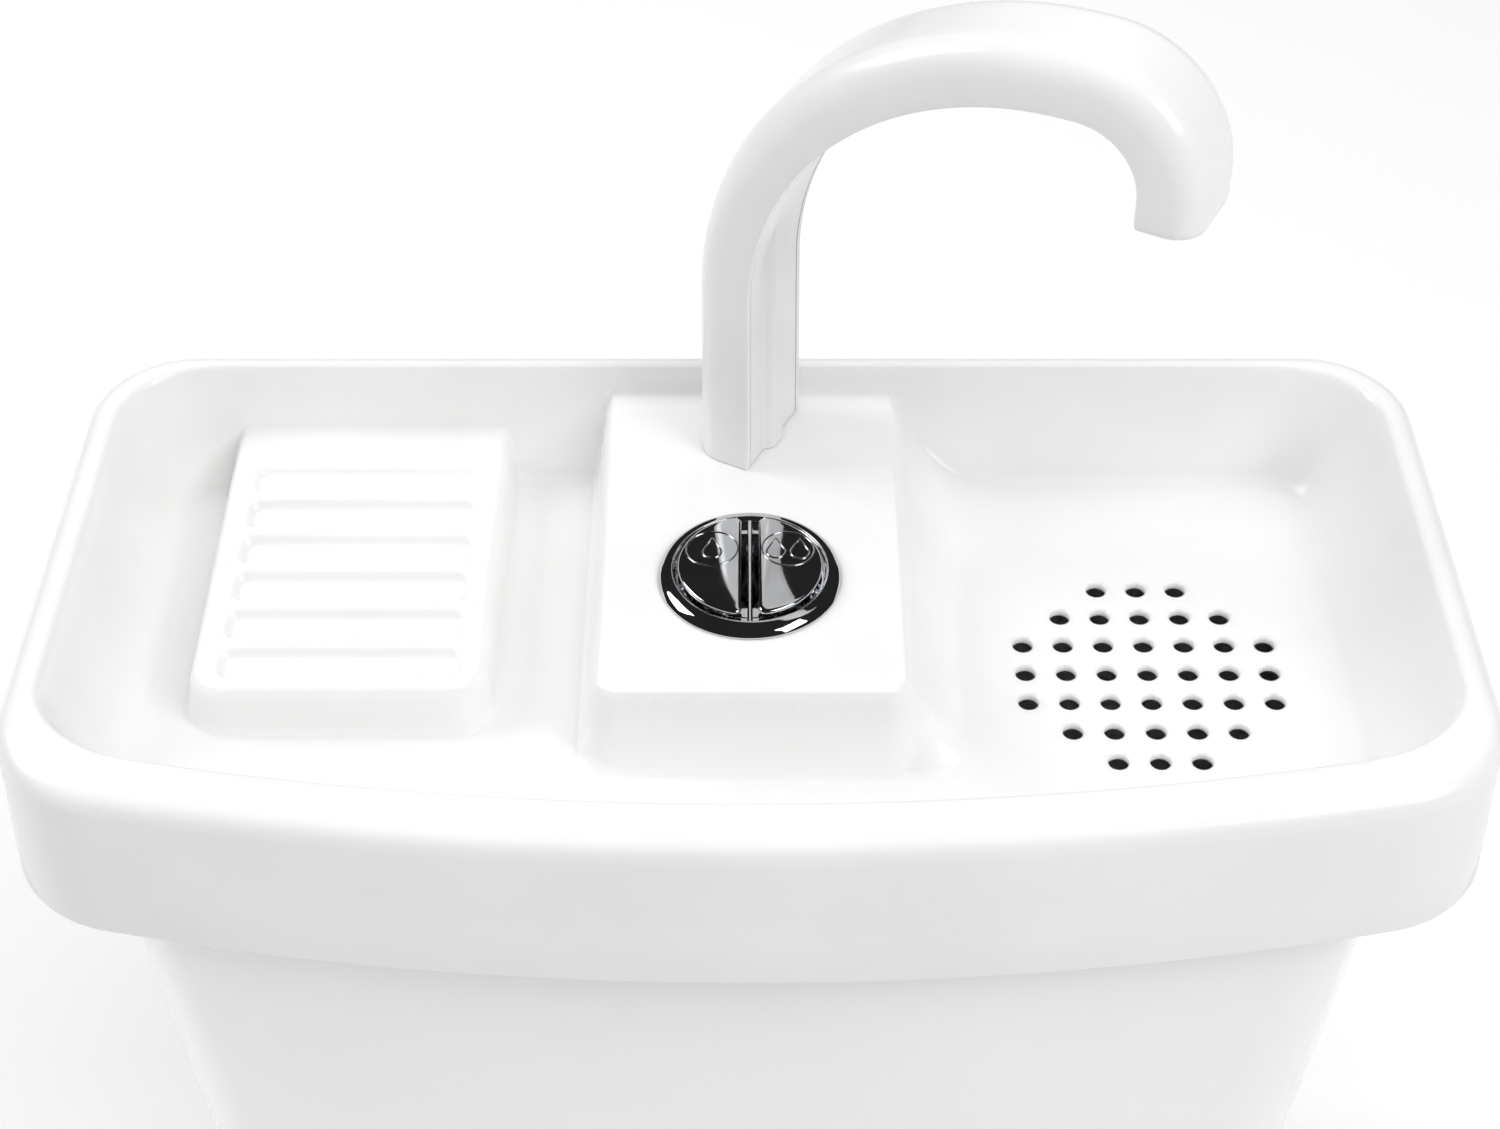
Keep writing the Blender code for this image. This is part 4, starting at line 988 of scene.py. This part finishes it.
def make_button(side, name):
    """Half-moon button with softened edges, a slightly domed face and its marks."""
    low = BUTTON_LOW
    high = low + 0.0018
    rings = [at_height(half_moon(side, 0.0), low)]
    edge = 0.0011
    for angle in np.radians((0, 25, 45, 65, 90)):
        inset = edge * (1 - math.cos(angle))
        rings.append(crown(half_moon(side, inset), high - edge * 0.8 * (1 - math.sin(angle))))
    middle = np.array((BUTTON.x + side * 0.0105, BUTTON.y))
    rim = half_moon(side, edge)
    for share in np.linspace(0.93, 0.04, 16):
        rings.append(crown(middle + (rim - middle) * share, high))
    vertices, faces = loft(rings)
    body = f"{name}_button"
    fix_normals(new_piece(f"{body}_face", vertices, faces, body, "chrome", [f"{name}_flush_button"], 60))
    stem = (side * STEM[0], STEM[1])
    profile = [(0.00001, low + 0.0002), (0.0026, low + 0.0002)]
    profile += [(0.0026, 0.3503), (0.0023, 0.3500), (0.00001, 0.3500)]
    turned_piece(f"{body}_stem", stem, profile, body, "chrome", steps=32)
    mark = Vector((BUTTON.x + side * 0.0117, BUTTON.y + 0.0062))
    make_mark(f"{name}_mark_ring", circle(mark, MARK_RADIUS, 64), 0.00028, name, high)
    if side < 0:
        drops = [mark]
    else:
        drops = [mark + Vector((-0.0037, 0)), mark + Vector((0.0037, 0))]
    for i, place in enumerate(drops):
        make_mark(f"{name}_mark_drop_{i}", drop_line(place), 0.00034, name, high)


def drop_line(centre):
    """Outline of a water drop, pointed to the back."""
    angle = np.radians(np.linspace(150, 390, 25))
    bowl = 0.0029 * np.stack([np.cos(angle), np.sin(angle)], 1)
    return np.vstack([bowl, (0.0, 0.0066)]) + np.array(centre) - (0, 0.0016)


def make_spring(side, name):
    """Fine coil under a button."""
    turns, around, wire = 7, 28, 0.00032
    low, high = SPRING_SEAT + wire, BUTTON_LOW - 0.0003 - wire
    angle = 2 * math.pi * np.arange(turns * around + 1) / around
    centre = (side * STEM[0], STEM[1])
    middle = np.stack([COIL_RADIUS * np.cos(angle), COIL_RADIUS * np.sin(angle)], 1)
    height = np.linspace(low, high, len(angle))
    rings = []
    for (x, y), z in zip(middle, height):
        ring = []
        for turn in np.radians(np.arange(0, 360, 45)):
            out = 1 + wire * math.cos(turn) / COIL_RADIUS
            ring.append((centre[0] + x * out, centre[1] + y * out, z + wire * math.sin(turn)))
        rings.append(np.array(ring))
    vertices, faces = loft(rings)
    piece = f"{name}_button_coil"
    coil = new_piece(piece, vertices, faces, "sink", "spring_steel", [f"{name}_button_spring"], 60)
    fix_normals(coil)
    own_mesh(coil)


def make_mark(name, line, wire, button, height):
    """Thin raised line on a button's face."""
    curve = bpy.data.curves.new(name, "CURVE")
    curve.dimensions = "3D"
    curve.bevel_depth = wire
    curve.bevel_resolution = 3
    spline = curve.splines.new("POLY")
    spline.points.add(len(line) - 1)
    for point, (x, y, z) in zip(spline.points, crown(line, height)):
        point.co = (x, y, z, 1)
    spline.use_cyclic_u = True
    holder = bpy.data.objects.new(name, curve)
    bpy.context.scene.collection.objects.link(holder)
    bpy.context.view_layer.update()
    mesh = bpy.data.meshes.new_from_object(holder.evaluated_get(bpy.context.evaluated_depsgraph_get()))
    bpy.data.objects.remove(holder)
    bpy.data.curves.remove(curve)
    obj = bpy.data.objects.new(name, mesh)
    bpy.context.scene.collection.objects.link(obj)
    mesh.shade_smooth()
    dress(obj, "chrome")
    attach(obj, f"{button}_button")


# Stage


def make_floor():
    """Pale square floor that the cistern stands on."""
    half = FLOOR_SIZE / 2
    mesh = bpy.data.meshes.new("studio_floor")
    corners = [(-half, -half, 0), (half, -half, 0), (half, half, 0), (-half, half, 0)]
    mesh.from_pydata(corners, [], [(0, 1, 2, 3)])
    mesh.materials.append(plain("studio_floor", (0.97, 0.97, 0.97), 0.9))
    floor = bpy.data.objects.new("studio_floor", mesh)
    bpy.context.scene.collection.objects.link(floor)


def plain(name, colour, roughness):
    nodes = Nodes(name)
    nodes.shader.inputs["Base Color"].default_value = (*colour, 1)
    nodes.shader.inputs["Roughness"].default_value = roughness
    return nodes.material


def aim(obj, target):
    obj.rotation_euler = (Vector(target) - obj.location).to_track_quat("-Z", "Y").to_euler()


def area_light(name, place, target, size, power, mirrored=True):
    """Soft light aimed at target. One that is not mirrored stays out of reflections."""
    data = bpy.data.lights.new(name, "AREA")
    data.shape = "RECTANGLE"
    data.size, data.size_y = size
    data.energy = power
    light = bpy.data.objects.new(name, data)
    light.location = place
    light.visible_glossy = mirrored
    bpy.context.scene.collection.objects.link(light)
    aim(light, target)


def make_camera():
    data = bpy.data.cameras.new("photo_camera")
    data.sensor_width = 36.0
    data.lens = 67.3
    camera = bpy.data.objects.new("photo_camera", data)
    camera.location = (0.0, -0.6244, 0.9556)
    camera.rotation_euler = (math.radians(90 - 42.27), 0, 0)
    bpy.context.scene.collection.objects.link(camera)
    bpy.context.scene.camera = camera


def make_world():
    """Even soft light. Reflections see a dark room, so that chrome and gloss keep their contrast."""
    world = bpy.data.worlds.new("studio")
    world.use_nodes = True
    tree = world.node_tree
    background = tree.nodes["Background"]
    background.inputs["Color"].default_value = (1, 1, 1, 1)
    path = tree.nodes.new("ShaderNodeLightPath")
    strength = tree.nodes.new("ShaderNodeMapRange")
    strength.inputs["To Min"].default_value = WORLD_LIGHT
    strength.inputs["To Max"].default_value = WORLD_IN_REFLECTIONS
    tree.links.new(path.outputs["Is Glossy Ray"], strength.inputs["Value"])
    tree.links.new(strength.outputs["Result"], background.inputs["Strength"])
    bpy.context.scene.world = world


def make_studio():
    make_floor()
    make_world()
    area_light("key_left", (-1.5, 0.35, 1.5), (0, 0, 0.38), (0.9, 0.9), 13)
    area_light("key_right", (1.2, -0.85, 1.55), (0, 0, 0.38), (0.9, 0.9), 11)
    area_light("overhead", (0.25, -0.8, 2.6), (0, 0.1, 0.3), (2.0, 1.6), 23, mirrored=False)
    area_light("backdrop", (0, 1.7, 2.3), (0, 1.8, 0), (2.6, 1.6), 20, mirrored=False)
    bpy.context.scene.view_settings.view_transform = "Standard"


def dress_cad_nodes():
    """Gives every CAD node that stays the procedural material of its slot."""
    for row in frame["record"]["subparts"]:
        obj = frame["nodes"][row["node"]]
        obj.data.materials.clear()
        obj.data.materials.append(MATERIALS[row["material_slot"]])


make_camera()
make_studio()
dress_cad_nodes()
make_basin()
make_ribs()
make_tank()
make_spout()
make_bezel()
for side, name in ((-1, "half"), (1, "full")):
    make_button(side, name)
    make_spring(side, name)

bpy.context.view_layer.update()
